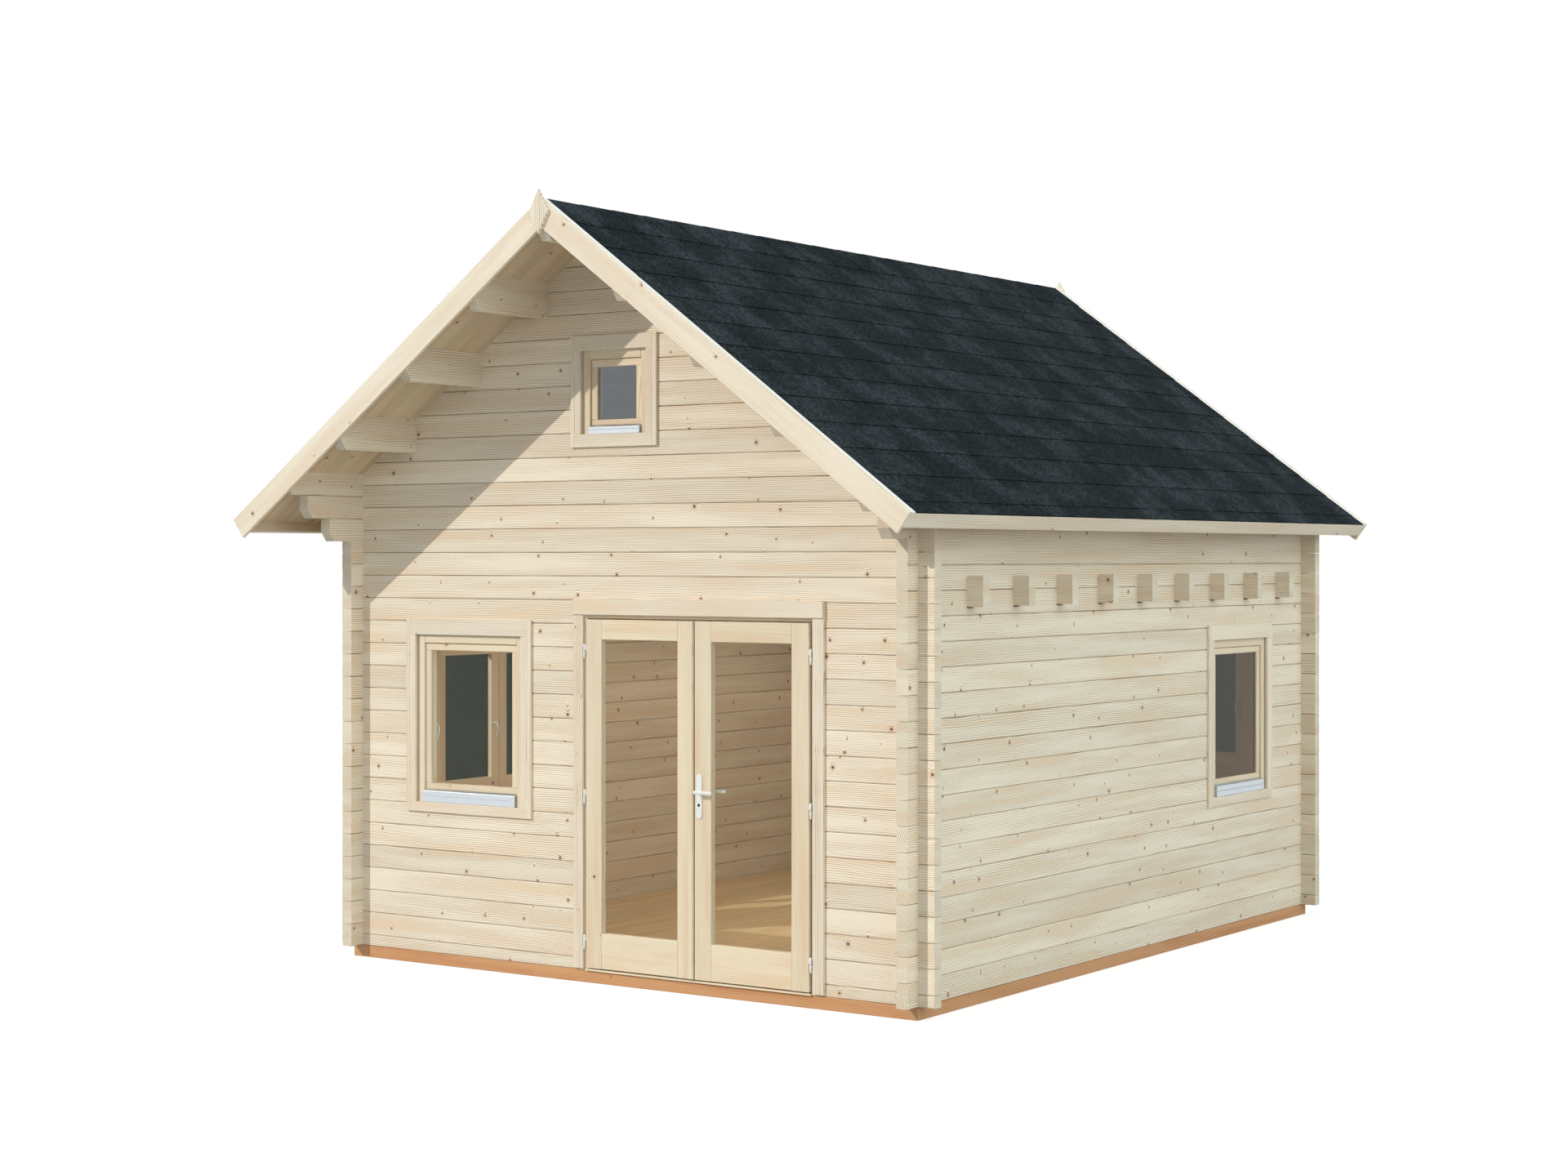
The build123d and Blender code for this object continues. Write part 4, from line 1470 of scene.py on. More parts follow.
    def floors(self) -> None:
        """The floor's joists and boards."""
        stock, first = Stock(), FLOOR.joist_start
        axes = self.across_axes.moved(s=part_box("floor_joists")[0].y - first)
        reach = (-FLOOR.joist_reach, FLOOR.joist_reach)
        stock.squared(axes, reach, (first, first + FLOOR.joist), (0.0, FLOOR.beam), 5.0)
        runs = [(FLOOR.joists, (0.0, FLOOR.joist_step, 0.0))]
        self.piece(stock, "floor_joist_row", self.finishes.treated, ["floor_joists"], runs=runs, seed=3)
        width = 2 * FLOOR.half_width / FLOOR.boards
        stock = self.boarding(FLOOR.beam, [-FLOOR.half_width, width - FLOOR.half_width], (), 0.0)
        runs = [(FLOOR.boards, (width, 0.0, 0.0))]
        self.piece(stock, "floor_board_row", self.finishes.floor, ["floor_boards"], runs=runs, seed=5)

    def loft(self) -> None:
        """The loft's joists and its boards with the hatch."""
        stock, first = Stock(), FLOOR.loft_joist_start
        reach, heights = (-WALL.tail_end, WALL.tail_end), (FLOOR.joist_base, FLOOR.loft)
        stock.squared(self.across_axes, reach, (first, first + FLOOR.loft_joist), heights, 9.0, 0.004)
        runs = [(FLOOR.joists, (0.0, FLOOR.joist_step, 0.0))]
        self.piece(stock, "loft_joist_row", self.finishes.logs, ["loft_joists"], runs=runs, seed=8)
        joints = steps(-FLOOR.half_width, FLOOR.half_width, FLOOR.loft_board)
        stock = self.boarding(FLOOR.loft, joints, [FLOOR.hatch], 71.0)
        self.piece(stock, "loft_boards", self.finishes.floor, ["loft_floor"])


class RoofMaker(Maker):
    """Beams, boards, shingles and gable boards."""

    def make(self) -> None:
        """Make every piece of the roof."""
        self.beams()
        for side, name in ((-1, "left"), (1, "right")):
            self.deck(side, name)
            self.shingles(side, name)
            for end in ("front", "back"):
                self.bargeboard(side, f"{end}_{name}_bargeboard", end == "front")
        self.cap()
        self.fascias()
        self.finials()

    def slope_axes(self, side: int, forward: bool, y: float, height: float) -> tuple[Axes, int]:
        """Axes of one slope, running down from the ridge.

        Args:
            side: 1 for the right slope, -1 for the left one.
            forward: Whether the third coordinate runs to the front rather than to the back.
            y: Where the third coordinate is zero.
            height: Height at the ridge where the second one is zero.

        Returns:
            The axes, and 1 if their second coordinate runs out of the roof or -1 if into it.
        """
        along = Vector((side * math.cos(WALL.pitch), 0, -math.sin(WALL.pitch)))
        up = Vector((0, -1 if forward else 1, 0))
        return Axes(Vector((0, y, height)), along, up.cross(along)), side if forward else -side

    @property
    def foot(self) -> float:
        """Length of the roof boards' top from the ridge down to the eave."""
        return ROOF.eave / math.cos(WALL.pitch)

    def plumb_cut(self, x: float, out: int) -> EndLine:
        """Where a plumb cut at a distance from the middle crosses a sloping piece."""
        return lambda s, t: (x - out * s * math.sin(WALL.pitch)) / math.cos(WALL.pitch)

    def beams(self) -> None:
        """Ridge beam and purlins."""
        half, height = ROOF.beam_half, ROOF.beam_height
        ridge = Stock()
        self.beam(ridge, -half, half, WALL.under_roof(0) - height, 31.0)
        self.piece(ridge, "ridge_log", self.finishes.logs, ["ridge_beam"])
        purlins = Stock()
        for number in range(ROOF.purlins):
            inner = ROOF.first_purlin + ROOF.purlin_step * number - half
            for side in (-1, 1):
                low, high = sorted((-side * inner, -side * (inner + 2 * half)))
                self.beam(purlins, low, high, WALL.under_roof(inner) - height, 37.0 + 2.3 * number + side)
        self.piece(purlins, "purlin_logs", self.finishes.logs, ["purlins"])

    def beam(self, stock: Stock, low: float, high: float, base: float, seed: float) -> None:
        """Add a beam whose top follows the roof and whose lower end corners are cut.

        Args:
            stock: What it is added to.
            low: Its first side across.
            high: Its second side across.
            base: Height of its underside.
            seed: What its figure and tone come from.
        """
        ease, rise = ROOF.beam_ease, WALL.cut_height

        def end(sign: int) -> EndLine:
            """Line of one of the beam's ends, whose lower corner is cut."""
            return lambda s, t: sign * (WALL.beam_end - WALL.cut_length * max(0.0, 1 - (t - base) / rise))

        def seat(s: float) -> float:
            """Height of the beam's top, just under the roof boards."""
            return WALL.under_roof(s) - ROOF.beam_gap

        levels = [
            ((low + ease, base), (high - ease, base)), ((low, base + ease), (high, base + ease)),
            ((low, base + rise), (high, base + rise)), ((low, seat(low)), (high, seat(high))),
        ]
        if low < 0 < high:
            levels.append(((-ROOF.peak_half, seat(0)), (ROOF.peak_half, seat(0))))
        stock.timber(WallMaker.along_axes, levels, end(-1), end(1), seed)

    def deck(self, side: int, name: str) -> None:
        """Boards that run down the slope, tongued together with a groove below."""
        width = 2 * WALL.beam_end / ROOF.boards
        axes, out = self.slope_axes(side, False, -WALL.beam_end, WALL.under_roof(0))
        stop = self.foot - ROOF.board * WALL.slope - ROOF.fascia_thickness
        across, up = tuple(sorted((0.0, out * ROOF.board))), (ROOF.board_gap, width - ROOF.board_gap)
        stock = Stock()
        levels = eased_all_round(across, up, ROOF.board_ease)
        stock.timber(axes, levels, self.plumb_cut(0.0, out), stop, 13.0 + side)
        runs, nodes = [(ROOF.boards, (0.0, width, 0.0))], [f"{name}_roof_boards"]
        self.piece(stock, f"{name}_roof_board_row", self.finishes.boards, nodes, runs=runs, seed=20 + side)

    def shingles(self, side: int, name: str) -> None:
        """Courses of tabs, every second one shifted by half a tab, on a backing sheet."""
        axes, out = self.slope_axes(side, False, 0.0, WALL.under_roof(0) + ROOF.board * WALL.plumb)
        end, edge = ROOF.shingle_end, self.foot
        width, half = 2 * end / ROOF.tabs, end / ROOF.tabs
        start, stop = (x / math.cos(WALL.pitch) for x in (ROOF.first_course, ROOF.last_course))
        course = (stop - start) / (ROOF.even_courses + ROOF.odd_courses)
        step, finish = tuple(axes.along * (2 * course)), self.finishes.shingle
        backing = Stock()
        back, face = sorted((0.0, out * ROOF.backing))
        levels = [((back, t), (face, t)) for t in (-end, end)]
        backing.timber(axes, levels, ROOF.backing_start, edge - ROOF.backing_inset, 2.0)
        pieces = [backing.build(f"{name}_backing", finish.material)]
        odd = (2, ROOF.odd_courses)
        for label, spans, along, (first, down), seed in (
            ("even", [(-end, -end + width)], ROOF.tabs, (1, ROOF.even_courses), 60),
            ("half", [(-end, -end + half), (end - half, end)], 1, odd, 60),
            ("odd", [(-end + half, -end + half + width)], ROOF.tabs - 1, odd, 67),
        ):
            stock = Stock()
            for span in spans:
                self.tab(stock, axes, out, start + course * first, course, span)
            runs = [(along, (0.0, width, 0.0))] if along > 1 else []
            pieces.append(stock.build(f"{name}_{label}", finish.material))
            self.rows.repeat(pieces[-1], [*runs, (down, step)], seed + side)
        eave, last = Stock(), edge - ROOF.eave_inset
        for number in range(ROOF.tabs):
            low = -end + number * width
            self.tab(eave, axes, out, last, last - stop + ROOF.eave_lap, (low, low + width), 1.7 * number)
        pieces.append(eave.build(f"{name}_eave", finish.material))
        whole = join(pieces, f"{name}_shingle_courses")
        self.hand_over(whole, finish.slot, [f"{name}_shingles"], Body.HOUSE)

    def tab(
        self, stock: Stock, axes: Axes, out: int, lower: float, course: float, span: Span, seed: float = 0.0
    ) -> None:
        """Add one tab, which lies on the course below it.

        Args:
            stock: What it is added to.
            axes: The slope's axes.
            out: 1 if their second coordinate runs out of the roof.
            lower: Its lower edge.
            course: How much of it shows.
            span: Where it lies along the house.
            seed: What its tone comes from.
        """
        upper, base = lower - course - ROOF.overlap, len(stock.vertices)
        for t in (span[0] + ROOF.tab_gap, span[1] - ROOF.tab_gap):
            for heights in (ROOF.tab_under, ROOF.tab_over):
                for u, height in zip((upper, lower), heights):
                    stock.vertices.append(axes.point(u, out * height, t))
        faces = [(0, 1, 5, 4), (2, 6, 7, 3), (0, 4, 6, 2), (1, 3, 7, 5), (0, 2, 3, 1), (4, 5, 7, 6)]
        # Painted shade: cut values darken the lower edge (1.0) and the two sides (0.4), standing in for the
        # shadow under and between tabs.
        painted_shade = (0.0, 0.0, 0.0, 1.0, 0.4, 0.4)
        for indices, cut in zip(faces, painted_shade):
            order = indices if out > 0 else indices[::-1]
            stock.face([base + i for i in order], [(0.0, 0.0, seed)] * 4, cut)

    def cap(self) -> None:
        """Folded tabs over the ridge, each over the next one behind."""
        end, reach, thick = ROOF.shingle_end, ROOF.first_course, ROOF.cap
        step = 2 * end / ROOF.cap_tabs
        height = WALL.under_roof(0) + (ROOF.board + ROOF.shingle) * WALL.plumb - ROOF.cap_drop
        base, top = height - reach * WALL.slope, height - ROOF.cap_fold
        stock = Stock()
        rings = []
        for y, lift in ((-end + step, ROOF.cap_lifts[0]), (-end, ROOF.cap_lifts[1])):
            under = [(-reach, base + lift), (0.0, top + lift), (reach, base + lift)]
            over = [(x, z + thick) for x, z in reversed(under)]
            rings.append([(x, y, z) for x, z in under + over])
        stock.rim(rings, smooth=False, closed=False)
        # The tabs' front and back edges carry cut 1, which the grit paints almost black: painted shade under
        # each tab's edge.
        for ring, way in ((0, -1), (6, 1)):
            for quad in ((0, 1, 4, 5), (1, 2, 3, 4)):
                stock.face([ring + i for i in quad][::way], [(0.0, 0.0, 0.0)] * 4, 1.0)
        runs = [(ROOF.cap_tabs, (0.0, step, 0.0))]
        self.piece(stock, "ridge_cap_tabs", self.finishes.shingle, ["ridge_cap"], runs=runs, seed=90)

    def bargeboard(self, side: int, name: str, forward: bool) -> None:
        """A sloping board under one gable edge, with the strip that covers the shingles' edge.

        Args:
            side: 1 for the right slope, -1 for the left one.
            name: The CAD node's name.
            forward: Whether it is at the front.
        """
        y = -WALL.beam_end if forward else WALL.beam_end
        axes, out = self.slope_axes(side, forward, y, WALL.under_roof(0) + ROOF.board * WALL.plumb)
        behind = (ROOF.bargeboard_thickness - ROOF.strip_width, 0.0)
        face = (0.0, ROOF.bargeboard_thickness)
        for part, lowest, depths, finish, nodes in (
            ("timber", -ROOF.bargeboard, face, self.finishes.trim, [name]),
            # The strip takes the paler finish, a painted highlight for its sunlit top.
            ("strip", 0.0, behind, self.finishes.strip, []),
        ):
            across = tuple(sorted((out * lowest, out * ROOF.strip_height)))
            levels = eased_face(across, depths, ROOF.bargeboard_ease)
            stock = Stock()
            seed = len(nodes) + 5 * side + (19 if forward else 0)
            stock.timber(axes, levels, self.plumb_cut(0.0, out), self.foot, seed)
            self.piece(stock, f"{name}_{part}", finish, nodes)

    def fascias(self) -> None:
        """A board along each eave, square to the slope, with the shingles' edge over it."""
        top = WALL.under_roof(ROOF.eave) + ROOF.board * WALL.plumb
        ends, depth = (-WALL.beam_end, WALL.beam_end), ROOF.fascia_thickness
        stock = Stock()
        for side in (-1, 1):
            square = Vector((side * math.sin(WALL.pitch), 0, math.cos(WALL.pitch)))
            plane = Axes(Vector((side * ROOF.eave, 0, top)), Vector((0, side, 0)), square)
            stock.board(plane, ends, (ROOF.shingle - ROOF.fascia, 0.0), (-depth, 0.0), 15.0 + side)
        self.piece(stock, "fascia_boards", self.finishes.trim, ["fascias"])

    def finials(self) -> None:
        """A pointed board at the top of each gable."""
        centre = WALL.under_roof(0) + ROOF.board * WALL.plumb - ROOF.finial_drop
        half, height, thick = ROOF.finial_half, ROOF.finial_height, ROOF.bargeboard_thickness
        corners = [(0, -height), (half, 0), (0, height), (-half, 0)]
        for name, y, sign in (("front_finial", -WALL.gable, -1), ("back_finial", WALL.gable, 1)):
            rings = []
            for out, scale in ((0.0, 1.0), (thick - ROOF.finial_ease, 1.0), (thick, ROOF.finial_face)):
                rings.append([(x * scale * -sign, y + sign * out, centre + z * scale) for x, z in corners])
            stock = Stock()
            stock.rim(rings, smooth=False)
            places = [stock.vertices[i] for face in stock.faces for i in face]
            stock.grain = [(z, x, 41.0 + sign) for x, _, z in places]
            stock.cuts = [0.0] * len(stock.grain)
            self.piece(stock, f"{name}_board", self.finishes.trim, [name])


def join(pieces: Sequence[bpy.types.Object], name: str) -> bpy.types.Object:
    """Join objects into one.

    Args:
        pieces: The objects, of which the first is kept.
        name: The name of the whole.

    Returns:
        The whole.
    """
    whole = pieces[0]
    with bpy.context.temp_override(active_object=whole, selected_editable_objects=list(pieces)):
        bpy.ops.object.join()
    whole.name = whole.data.name = name
    return whole


class WindowMaker(Maker):
    """Frames, casings, panes, drip profiles and inside handles of all windows."""

    def make(self) -> None:
        """Make every window's pieces."""
        casings, drips = Stock(), Stock()
        for number, window in enumerate(WINDOWS):
            axes = face_axes(window.name)
            self.casing(casings, axes, window, 3.0 + 11 * number)
            self.frame(axes, window, 5.0 + 13 * number)
            self.panes(axes, window)
            self.drip(drips, axes, window)
            if window.name != "gable":
                self.handle(axes, window)
        self.piece(casings, "window_casing_boards", self.finishes.trim, ["window_casings"])
        self.piece(drips, "window_drip_profiles", self.finishes.drip, ["window_drips"])

    def casing(self, stock: Stock, axes: Axes, window: WindowSizes, seed: float) -> None:
        """Boards round a window: an outer strip up each side, and the others between the strips."""
        left, right = window.left - window.side_board, window.right + window.side_board
        base, top = window.base, window.base + window.height
        face = (0.0, window.casing)
        within = (left + window.casing_strip, right - window.casing_strip)
        stock.board(axes, within, (base, window.low), face, seed)
        stock.board(axes, within, (window.top, top), face, seed + 1)
        for low, high, shift in ((left, within[0], 2), (within[1], right, 3)):
            stock.board(axes.turned(), (base, top), (-high, -low), face, seed + shift)
        for low, high, shift in ((within[0], window.left, 4), (window.right, within[1], 5)):
            stock.board(axes.turned(), (window.low, window.top), (-high, -low), face, seed + shift)

    def frame(self, axes: Axes, window: WindowSizes, seed: float) -> None:
        """Frame, sashes and glazing edges of a window."""
        stock, upright, ease = Stock(), axes.turned(), window.ease
        left, right, base, top = window.hole
        back, face = -window.setback - window.depth, -window.setback
        inner_left, inner_right = window.left + window.shown, window.right - window.shown
        inner_top, inner_low = window.top - window.shown, window.low + window.low_shown
        for low, high, shift in ((inner_top, top, 0), (base, inner_low, 1)):
            stock.board(axes, (inner_left, inner_right), (low, high), (back, face), seed + shift, ease)
        for low, high, shift in ((left, inner_left, 2), (inner_right, right, 3)):
            stock.board(upright, (base, top), (-high, -low), (back, face), seed + shift, ease)
        front, gap = -window.sash_setback, window.sash_gap
        panes, middle = window.pane_openings(), (inner_left + inner_right) / 2
        for number, (pane_left, pane_right, low, high) in enumerate(panes):
            outer_left = inner_left if number == 0 else middle + window.meeting_gap
            outer_right = inner_right if number == len(panes) - 1 else middle - window.meeting_gap
            ends, rail = (outer_left + gap, outer_right - gap), seed + 5 + 7 * number
            for plane, along, across, shift in (
                (axes, ends, (high, inner_top - gap), 0), (axes, ends, (inner_low + gap, low), 1),
                (upright, (low, high), (-pane_left, -ends[0]), 2),
                (upright, (low, high), (-ends[1], -pane_right), 3),
            ):
                stock.board(plane, along, across, (back, front), rail + shift, window.sash_ease)
        if len(panes) > 1:
            along = (inner_low + window.strip_insets[0], inner_top - window.strip_insets[1])
            across = (-middle - window.strip_half, -middle + window.strip_half)
            stock.board(upright, along, across, (front, front + window.strip_thickness), seed + 31, ease)
        nodes = [f"{window.name}_window_frame"]
        self.piece(stock, f"{window.name}_window_joinery", self.finishes.joinery, nodes)

    def panes(self, axes: Axes, window: WindowSizes) -> None:
        """The panes of a window."""
        stock, groove, front = Stock(), window.pane_groove, -window.pane_setback
        for left, right, base, top in window.pane_openings():
            across, up = (base - groove, top + groove), (front - window.pane, front)
            stock.board(axes, (left - groove, right + groove), across, up, 0.0, window.pane_ease)
        # The left, back and right panes carry painted shade, the gable pane a painted sky reflection.
        finishes = {
            "front": self.finishes.glass, "left": self.finishes.shade_painted_glass, "back": self.finishes.shade_painted_glass,
            "gable": self.finishes.gable_reflection_glass, "right": self.finishes.side_shade_painted_glass,
        }
        self.piece(stock, f"{window.name}_window_panes", finishes[window.name], ["window_glass"])

    def drip(self, stock: Stock, axes: Axes, window: WindowSizes) -> None:
        """Pressed metal profile over the lower rail, with a groove and a lip."""
        out, back, slope = window.projection, -window.setback, window.drip_slope
        height, half = window.drip, window.drip * 0.46
        outline = [
            (back, 0.0), (out - 0.003, 0.0), (out - 0.0005, 0.0008), (out, 0.003), (out, half - 0.002),
            (out - 0.006, half - 0.001), (out - 0.006, half + 0.0026), (out - 0.0005, half + 0.0038),
            (out - 0.0005, height - slope - 0.003), (out - 0.002, height - slope), (back, height),
        ]
        ends = (window.right - window.shown - window.drip_gap, window.left + window.shown + window.drip_gap)
        stock.rim([[axes.point(u, window.low + z, t) for t, z in outline] for u in ends], smooth=False)

    def handle(self, axes: Axes, window: WindowSizes) -> None:
        """A turned handle on the room side of the sash."""
        stock = Stock()
        back = -window.setback - window.depth
        left, _, base, top = window.pane_openings()[-1]
        height, inward = (base + top) / 2 - window.handle_drop, -axes.up
        foot = Vector(axes.point(left - window.handle_inset, height, back))
        rose = [(0.0, 0.0145), (0.006, 0.0145), (0.009, 0.012), (0.010, 0.0085), (0.026, 0.0085)]
        stock.lathe(foot, inward, rose)
        rings = []
        for step in range(9):
            share = step / 8
            drop = 0.108 * share - 0.010
            lean = 0.026 + 0.016 * math.sin(math.pi * min(1.0, share * 1.15)) ** 2
            wide = 0.0085 - 0.0030 * share if 0 < step < 8 else 0.0045
            thick = 0.0055 - 0.0015 * share if 0 < step < 8 else 0.0025
            centre = foot + inward * lean - axes.across * drop
            ring = []
            for i in range(12):
                a = 2 * math.pi * i / 12
                ring.append(centre + axes.along * (wide * math.cos(a)) + axes.up * (thick * math.sin(a)))
            rings.append(ring)
        stock.rim(rings)
        self.piece(stock, f"{window.name}_window_handle", self.finishes.metal)


class DoorMaker(Maker):
    """The door's frame, casing, leaves, panes, hinges and handle."""

    def make(self) -> None:
        """Make every piece of the door."""
        self.axes = face_axes("front")
        self.frame()
        self.casing()
        self.leaf("left", DOOR.left_leaf, Body.LEFT_LEAF)
        self.leaf("right", DOOR.right_leaf, Body.RIGHT_LEAF)
        self.hinges()
        self.handle()

    def frame(self) -> None:
        """Jambs, head, sill and the stop behind the leaves."""
        stock, upright, axes = Stock(), self.axes.turned(), self.axes
        left, right, head, floor = DOOR.jamb_left, DOOR.jamb_right, DOOR.head_jamb, WALL.base + DOOR.sill
        stop_left, stop_right = DOOR.left_leaf[0] + DOOR.stop_inset, DOOR.right_leaf[1] - DOOR.stop_inset
        outer, stops = (WALL.base, DOOR.hole_top), (floor, head)
        full, thin = (-WALL.thickness, 0.0), (-WALL.thickness, WALL.front - DOOR.stop_front)
        for plane, along, across, depth, seed in (
            (upright, outer, (-left, -DOOR.hole_left), full, 62.0),
            (upright, outer, (-DOOR.hole_right, -right), full, 63.0),
            (axes, (left, right), (head, DOOR.hole_top), full, 64.0),
            (upright, stops, (-stop_left, -left), thin, 66.0),
            (upright, stops, (-right, -stop_right), thin, 67.0),
            (axes, (stop_left, stop_right), (DOOR.high - DOOR.stop_inset, head), thin, 69.0),
            (axes, (left, right), (WALL.base, floor), (-WALL.thickness, DOOR.sill_out), 70.0),
            (axes, (stop_left, stop_right), (floor, WALL.base + DOOR.sill_stop), thin, 71.0),
        ):
            stock.board(plane, along, across, depth, seed, DOOR.ease)
        self.piece(stock, "door_frame_joinery", self.finishes.joinery, ["door_frame"])

    def casing(self) -> None:
        """Boards beside the door and the wider one over it."""
        stock, upright = Stock(), self.axes.turned()
        low, high = DOOR.casing_left - DOOR.casing_width, DOOR.casing_right + DOOR.casing_width
        span = (WALL.base + DOOR.sill, DOOR.head_base)
        for outer, way, seed in ((low, 1, 82.0), (high, -1, 83.0)):
            for start, stop in zip(DOOR.casing_lines, DOOR.casing_lines[1:]):
                edges = sorted((-outer - way * start, -outer - way * stop))
                stock.board(upright, span, edges, (0.0, DOOR.casing), seed, DOOR.casing_ease)
        head = (DOOR.head_base, DOOR.head_base + DOOR.head_height)
        stock.board(self.axes, (low, high), head, (0.0, DOOR.head_thickness), 85.0, DOOR.head_ease)
        self.piece(stock, "door_casing_boards", self.finishes.trim, ["door_casing"])

    def leaf(self, name: str, edges: Span, body: Body) -> None:
        """One leaf with its pane, and the cover strip where it is the left one.

        Args:
            name: "left" or "right".
            edges: The leaf's left and right edge.
            body: The body that it rides on.
        """
        axes, stock = self.axes.moved(t=WALL.front - DOOR.front), Stock()
        upright, (left, right) = axes.turned(), edges
        low, high, depth = DOOR.low, DOOR.high, (-DOOR.thickness, 0.0)
        seed = 91.0 if name == "left" else 111.0
        inner = (left + DOOR.stile, right - DOOR.stile)
        for plane, along, across, shift in (
            (upright, (low, high), (-inner[0], -left), 0), (upright, (low, high), (-right, -inner[1]), 1),
            (axes, inner, (low, low + DOOR.bottom_rail), 2), (axes, inner, (high - DOOR.top_rail, high), 3),
        ):
            stock.squared(plane, along, across, depth, seed + shift, DOOR.leaf_ease)
        if name == "left":
            strip = (-right, -right + DOOR.strip_width)
            stock.board(upright, (low, high), strip, (0.0, DOOR.strip), seed + 5, DOOR.strip_ease)
        self.piece(stock, f"{name}_leaf_joinery", self.finishes.joinery, [f"{name}_door"], body)
        pane, groove, front = Stock(), DOOR.groove, -DOOR.pane_setback
        heights = (low + DOOR.bottom_rail - groove, high - DOOR.top_rail + groove)
        across = (inner[0] - groove, inner[1] + groove)
        pane.board(axes, across, heights, (front - DOOR.pane, front), 0.0, DOOR.pane_ease)
        self.piece(pane, f"{name}_leaf_pane", self.finishes.glass, [f"{name}_door_glass"], body)

    def hinges(self) -> None:
        """Knuckles, pins and leaves of the hinges, a lower half on the jamb and an upper one on the leaf."""
        r, h, gap, ease = DOOR.knuckle, DOOR.knuckle_height, DOOR.hinge_gap, DOOR.knuckle_ease
        shell = [(0.0, r - ease), (ease, r), (h - ease, r), (h, r - ease)]
        wide, deep = DOOR.pin + DOOR.pin_room, DOOR.pin_length + DOOR.pin_room
        bore = [(deep, 0.0), (deep, wide), (0.0, wide)]
        fixed, up, flap = Stock(), Vector((0, 0, 1)), DOOR.flap
        for x in (DOOR.hinge_left, DOOR.hinge_right):
            for centre in DOOR.hinge_heights:
                foot = Vector((x, DOOR.front, centre - h - gap))
                fixed.lathe(foot, up, shell)
                fixed.lathe(foot + up * h, up, [(0.0, DOOR.pin), (DOOR.pin_length, DOOR.pin)], 12)
                arm = Axes(Vector((x, DOOR.front, foot.z)), up, Vector((1, 0, 0)))
                fixed.squared(arm, DOOR.flap_heights, (-flap, flap), DOOR.flap_depth, 0.0, DOOR.flap_ease)
        self.piece(fixed, "frame_hinge_halves", self.finishes.metal, ["frame_hinges"])
        for name, x, edge, body in (
            ("left", DOOR.hinge_left, DOOR.left_leaf[0], Body.LEFT_LEAF),
            ("right", DOOR.hinge_right, DOOR.right_leaf[1], Body.RIGHT_LEAF),
        ):
            moving = Stock()
            span = tuple(sorted((x + math.copysign(DOOR.flap_start, edge - x), edge)))
            for centre in DOOR.hinge_heights:
                foot = Vector((x, DOOR.front, centre + gap))
                moving.lathe(foot, up, bore + shell)
                arm = Axes(Vector((0, DOOR.front, foot.z)), up, Vector((1, 0, 0)))
                moving.squared(arm, DOOR.flap_heights, span, (0.0, flap), 0.0, DOOR.flap_ease)
            nodes = [f"{name}_door_hinges"]
            self.piece(moving, f"{name}_hinge_halves", self.finishes.metal, nodes, body)

    def handle(self) -> None:
        """Long plates with round ends on both faces, and the lever that turns in them."""
        plates, lever, x = Stock(), Stock(), DOOR.handle_x
        back = DOOR.front + DOOR.thickness
        keyhole = [(0.0, 0.0085), (0.0002, 0.0085), (0.0002, 0.0078)]
        neck = [(0.0, 0.0078), (0.010, 0.0078), (0.022, 0.0066), (DOOR.standoff, 0.0080)]
        near, far = DOOR.front - DOOR.plate - 0.001, back + DOOR.plate + 0.001
        spindle = [(0.0, DOOR.spindle), (far - near, DOOR.spindle)]
        lever.lathe(Vector((x, far, DOOR.lever_z)), Vector((0, -1, 0)), spindle, 16)
        for leaf_face, end, sign in ((DOOR.front, near, -1), (back, far, 1)):
            way = Vector((0, sign, 0))
            self.plate(plates, Vector((x, leaf_face, 0)), sign)
            hole = Vector((x, leaf_face + sign * (DOOR.plate - keyhole[-1][0]), DOOR.keyhole_z))
            plates.lathe(hole, way, keyhole, 18)
            lever.lathe(Vector((x, end, DOOR.lever_z)), way, neck, 24)
            self.bar(lever, Vector((x, end + sign * (DOOR.standoff + DOOR.bar / 2), DOOR.lever_z)))
        self.piece(plates, "lock_plates", self.finishes.metal, ["handle_plates"], Body.RIGHT_LEAF)
        self.piece(lever, "door_lever_bar", self.finishes.metal, ["door_lever"], Body.LEVER)

    def plate(self, stock: Stock, centre: Vector, sign: int) -> None:
        """Add one long plate with round ends and an eased edge.

        Args:
            stock: What it is added to.
            centre: A point under its middle, on the leaf's face.
            sign: Which way along Y its face looks.
        """
        rings, thick, half = [], DOOR.plate, DOOR.plate_width / 2
        low, high = DOOR.plate_base, DOOR.plate_base + DOOR.plate_height
        for out, inset in ((0.0, 0.0), (thick - 0.002, 0.0), (thick - 0.0005, 0.0012), (thick, 0.003)):
            r = half - inset
            outline = []
            for middle, first in ((low + half, math.pi), (high - half, 0.0)):
                for step in range(13):
                    a = first + math.pi * step / 12
                    outline.append((r * math.cos(a), middle + r * math.sin(a)))
            rings.append([centre + Vector((-sign * px, sign * out, pz)) for px, pz in outline])
        stock.rim(rings, smooth=False)

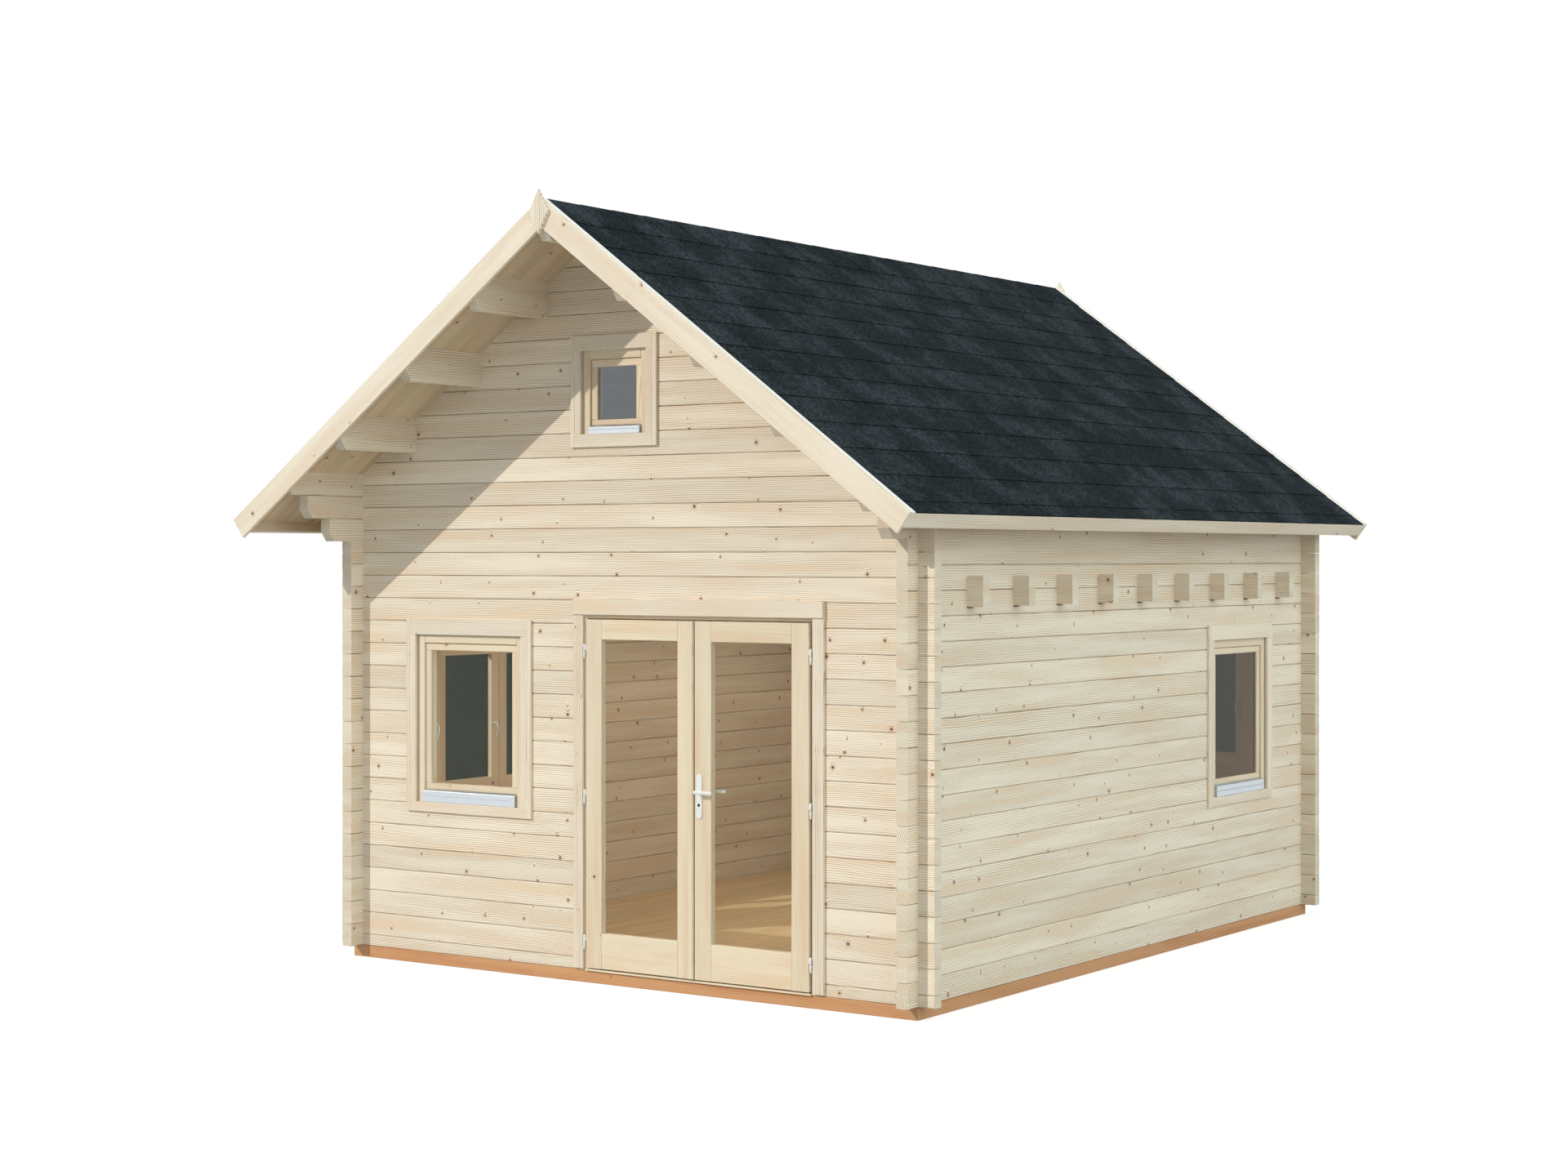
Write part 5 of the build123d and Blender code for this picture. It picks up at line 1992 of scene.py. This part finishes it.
    def bar(self, stock: Stock, root: Vector) -> None:
        """Add the lever's rounded bar, from just behind its neck to its tip."""
        rings = []
        half, thick = DOOR.bar_height / 2, DOOR.bar / 2
        start, stop = -half, DOOR.lever_length
        for step in range(17):
            share = step / 16
            x = start + (stop - start) * (0.5 - 0.5 * math.cos(math.pi * share))
            near = min(x - start, stop - x)
            round_off = math.sqrt(max(0.0, 1 - (1 - min(1.0, near / half)) ** 2)) if near < half else 1.0
            high = max(0.0006, half * round_off) * (1.0 - 0.12 * max(0.0, (x - 0.01) / stop))
            deep = max(0.0004, (thick - 0.0003) * (0.45 + 0.55 * round_off))
            ring = []
            for i in range(24):
                a = 2 * math.pi * i / 24
                c, s = math.cos(a), math.sin(a)
                ring.append(root + Vector((x, deep * _signed(c, 0.6), high * _signed(s, 0.6))))
            rings.append(ring)
        stock.rim(rings)


def _signed(value: float, power: float) -> float:
    """A power that keeps the sign."""
    return math.copysign(abs(value) ** power, value)


# Stage


@dataclass(frozen=True)
class CameraSizes:
    """The photograph's camera, worked out from the house's straight edges.

    Attributes:
        place: Where it stands.
        turn: Its turn about the vertical.
        lens: Its focal length in millimetres.
        image_width: The photograph's width in pixels.
        horizon_rise: How far the horizon lies above the image's middle, in pixels.
    """

    place: Point = (9.1442, -13.9203, 2.4032)
    turn: float = math.radians(34.457)
    lens: float = 60.44
    image_width: float = 1920.0
    horizon_rise: float = 37.25


class Stage:
    """Floor, world, lamps and camera."""

    sun_way: Point = (0.59, 1.0, -0.632)
    sun_power: float = 1.94
    side_power: float = 1.68
    room_power: float = 26.0
    fill: Colour = (0.50, 0.54, 0.56)
    floor_half: float = 60.0
    floor_glow: float = 0.72
    floor_colour: Colour = (0.45, 0.45, 0.44)
    lamp_place: Point = (0.0, 0.0, 8.0)
    room_place: Point = (0.0, 0.2, 2.10)

    def make(self) -> None:
        """Make all of the stage."""
        self.floor()
        self.world()
        self.lamps()
        self.camera()
        bpy.context.scene.view_settings.view_transform = "Standard"

    def floor(self) -> None:
        """A white floor that keeps the shadow."""
        mesh = bpy.data.meshes.new("floor")
        half = self.floor_half
        corners = [(-half, -half, 0), (half, -half, 0), (half, half, 0), (-half, half, 0)]
        mesh.from_pydata(corners, [], [(0, 1, 2, 3)])
        made, graph = new_material("Floor")
        seen = self.seen(graph)
        glow = graph.node("ShaderNodeEmission", {"Strength": graph.times(seen, self.floor_glow)})
        plain = graph.node("ShaderNodeBsdfDiffuse", {"Color": self.floor_colour})
        both = graph.node("ShaderNodeAddShader", {0: glow.outputs[0], 1: plain.outputs[0]})
        graph.node("ShaderNodeOutputMaterial", {"Surface": both.outputs[0]})
        mesh.materials.append(made)
        add_object("floor", mesh)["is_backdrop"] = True

    def seen(self, graph: Graph) -> bpy.types.NodeSocket:
        """1 for what the camera sees, directly, mirrored or through glass."""
        path = graph.node("ShaderNodeLightPath")
        some = graph.maths("MAXIMUM", path.outputs["Is Camera Ray"], path.outputs["Is Glossy Ray"])
        return graph.maths("MAXIMUM", some, path.outputs["Is Transmission Ray"])

    def world(self) -> None:
        """White where it is seen, and an even fill where it only lights."""
        world = bpy.data.worlds.new("World")
        bpy.context.scene.world = world
        world.use_nodes = True
        world.node_tree.nodes.clear()
        graph = Graph(world.node_tree)
        fill = graph.node("ShaderNodeBackground", {"Color": self.fill, "Strength": 1.0})
        white = graph.node("ShaderNodeBackground", {"Color": (1.0, 1.0, 1.0), "Strength": 1.0})
        looks = {0: self.seen(graph), 1: fill.outputs[0], 2: white.outputs[0]}
        both = graph.node("ShaderNodeMixShader", looks)
        graph.node("ShaderNodeOutputWorld", {"Surface": both.outputs[0]})

    def lamps(self) -> None:
        """The sun over the left shoulder, a broad soft light from the right, and one in the room."""
        self.sun("Sun", self.sun_way, self.sun_power, 0.6, (1.0, 0.96, 0.89))
        self.sun("Side light", (-1.0, 0.10, -0.30), self.side_power, 70.0, (0.91, 1.0, 0.97))
        data = bpy.data.lights.new("Room light", "AREA")
        data.shape, data.size, data.size_y = "RECTANGLE", 3.0, 4.0
        data.energy, data.color = self.room_power, (1.0, 0.97, 0.90)
        lamp = add_object("Room light", data)
        lamp.location = self.room_place
        lamp.visible_camera = lamp.visible_glossy = lamp.visible_transmission = False

    def sun(self, name: str, way: Point, power: float, spread: float, colour: Colour) -> None:
        """Add a distant lamp.

        Args:
            name: Its name.
            way: The direction in which its light travels.
            power: Its strength.
            spread: Its angular size in degrees.
            colour: Its colour.
        """
        data = bpy.data.lights.new(name, "SUN")
        data.energy, data.angle, data.color = power, math.radians(spread), colour
        lamp = add_object(name, data)
        lamp.rotation_euler = Vector(way).to_track_quat("-Z", "Y").to_euler()
        lamp.location = self.lamp_place

    def camera(self) -> None:
        """The photograph's camera."""
        sizes = CameraSizes()
        data = bpy.data.cameras.new("Camera")
        data.sensor_fit, data.sensor_width, data.lens = "HORIZONTAL", 36.0, sizes.lens
        data.shift_y = -sizes.horizon_rise / sizes.image_width
        data.clip_end = 200.0
        camera = add_object("Camera", data)
        camera.location = sizes.place
        camera.rotation_euler = (math.radians(90), 0, sizes.turn)
        bpy.context.scene.camera = camera


def measure(label: str, sizes: dict[str, object]) -> None:
    """Note the frame's bounds under a label."""
    sizes[label] = [list(corner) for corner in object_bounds()]


def main() -> None:
    """Load the frame and make the house and its stage."""
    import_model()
    sizes: dict[str, object] = {}
    measure("frame", sizes)
    finishes, rows = Finishes(), Rows()
    for maker in (WallMaker, RoofMaker, WindowMaker, DoorMaker):
        maker(finishes, rows).make()
    Stage().make()
    log.info("made %d pieces", len(Maker.made))
    measure("visual", sizes)


if __name__ == "__main__":
    main()
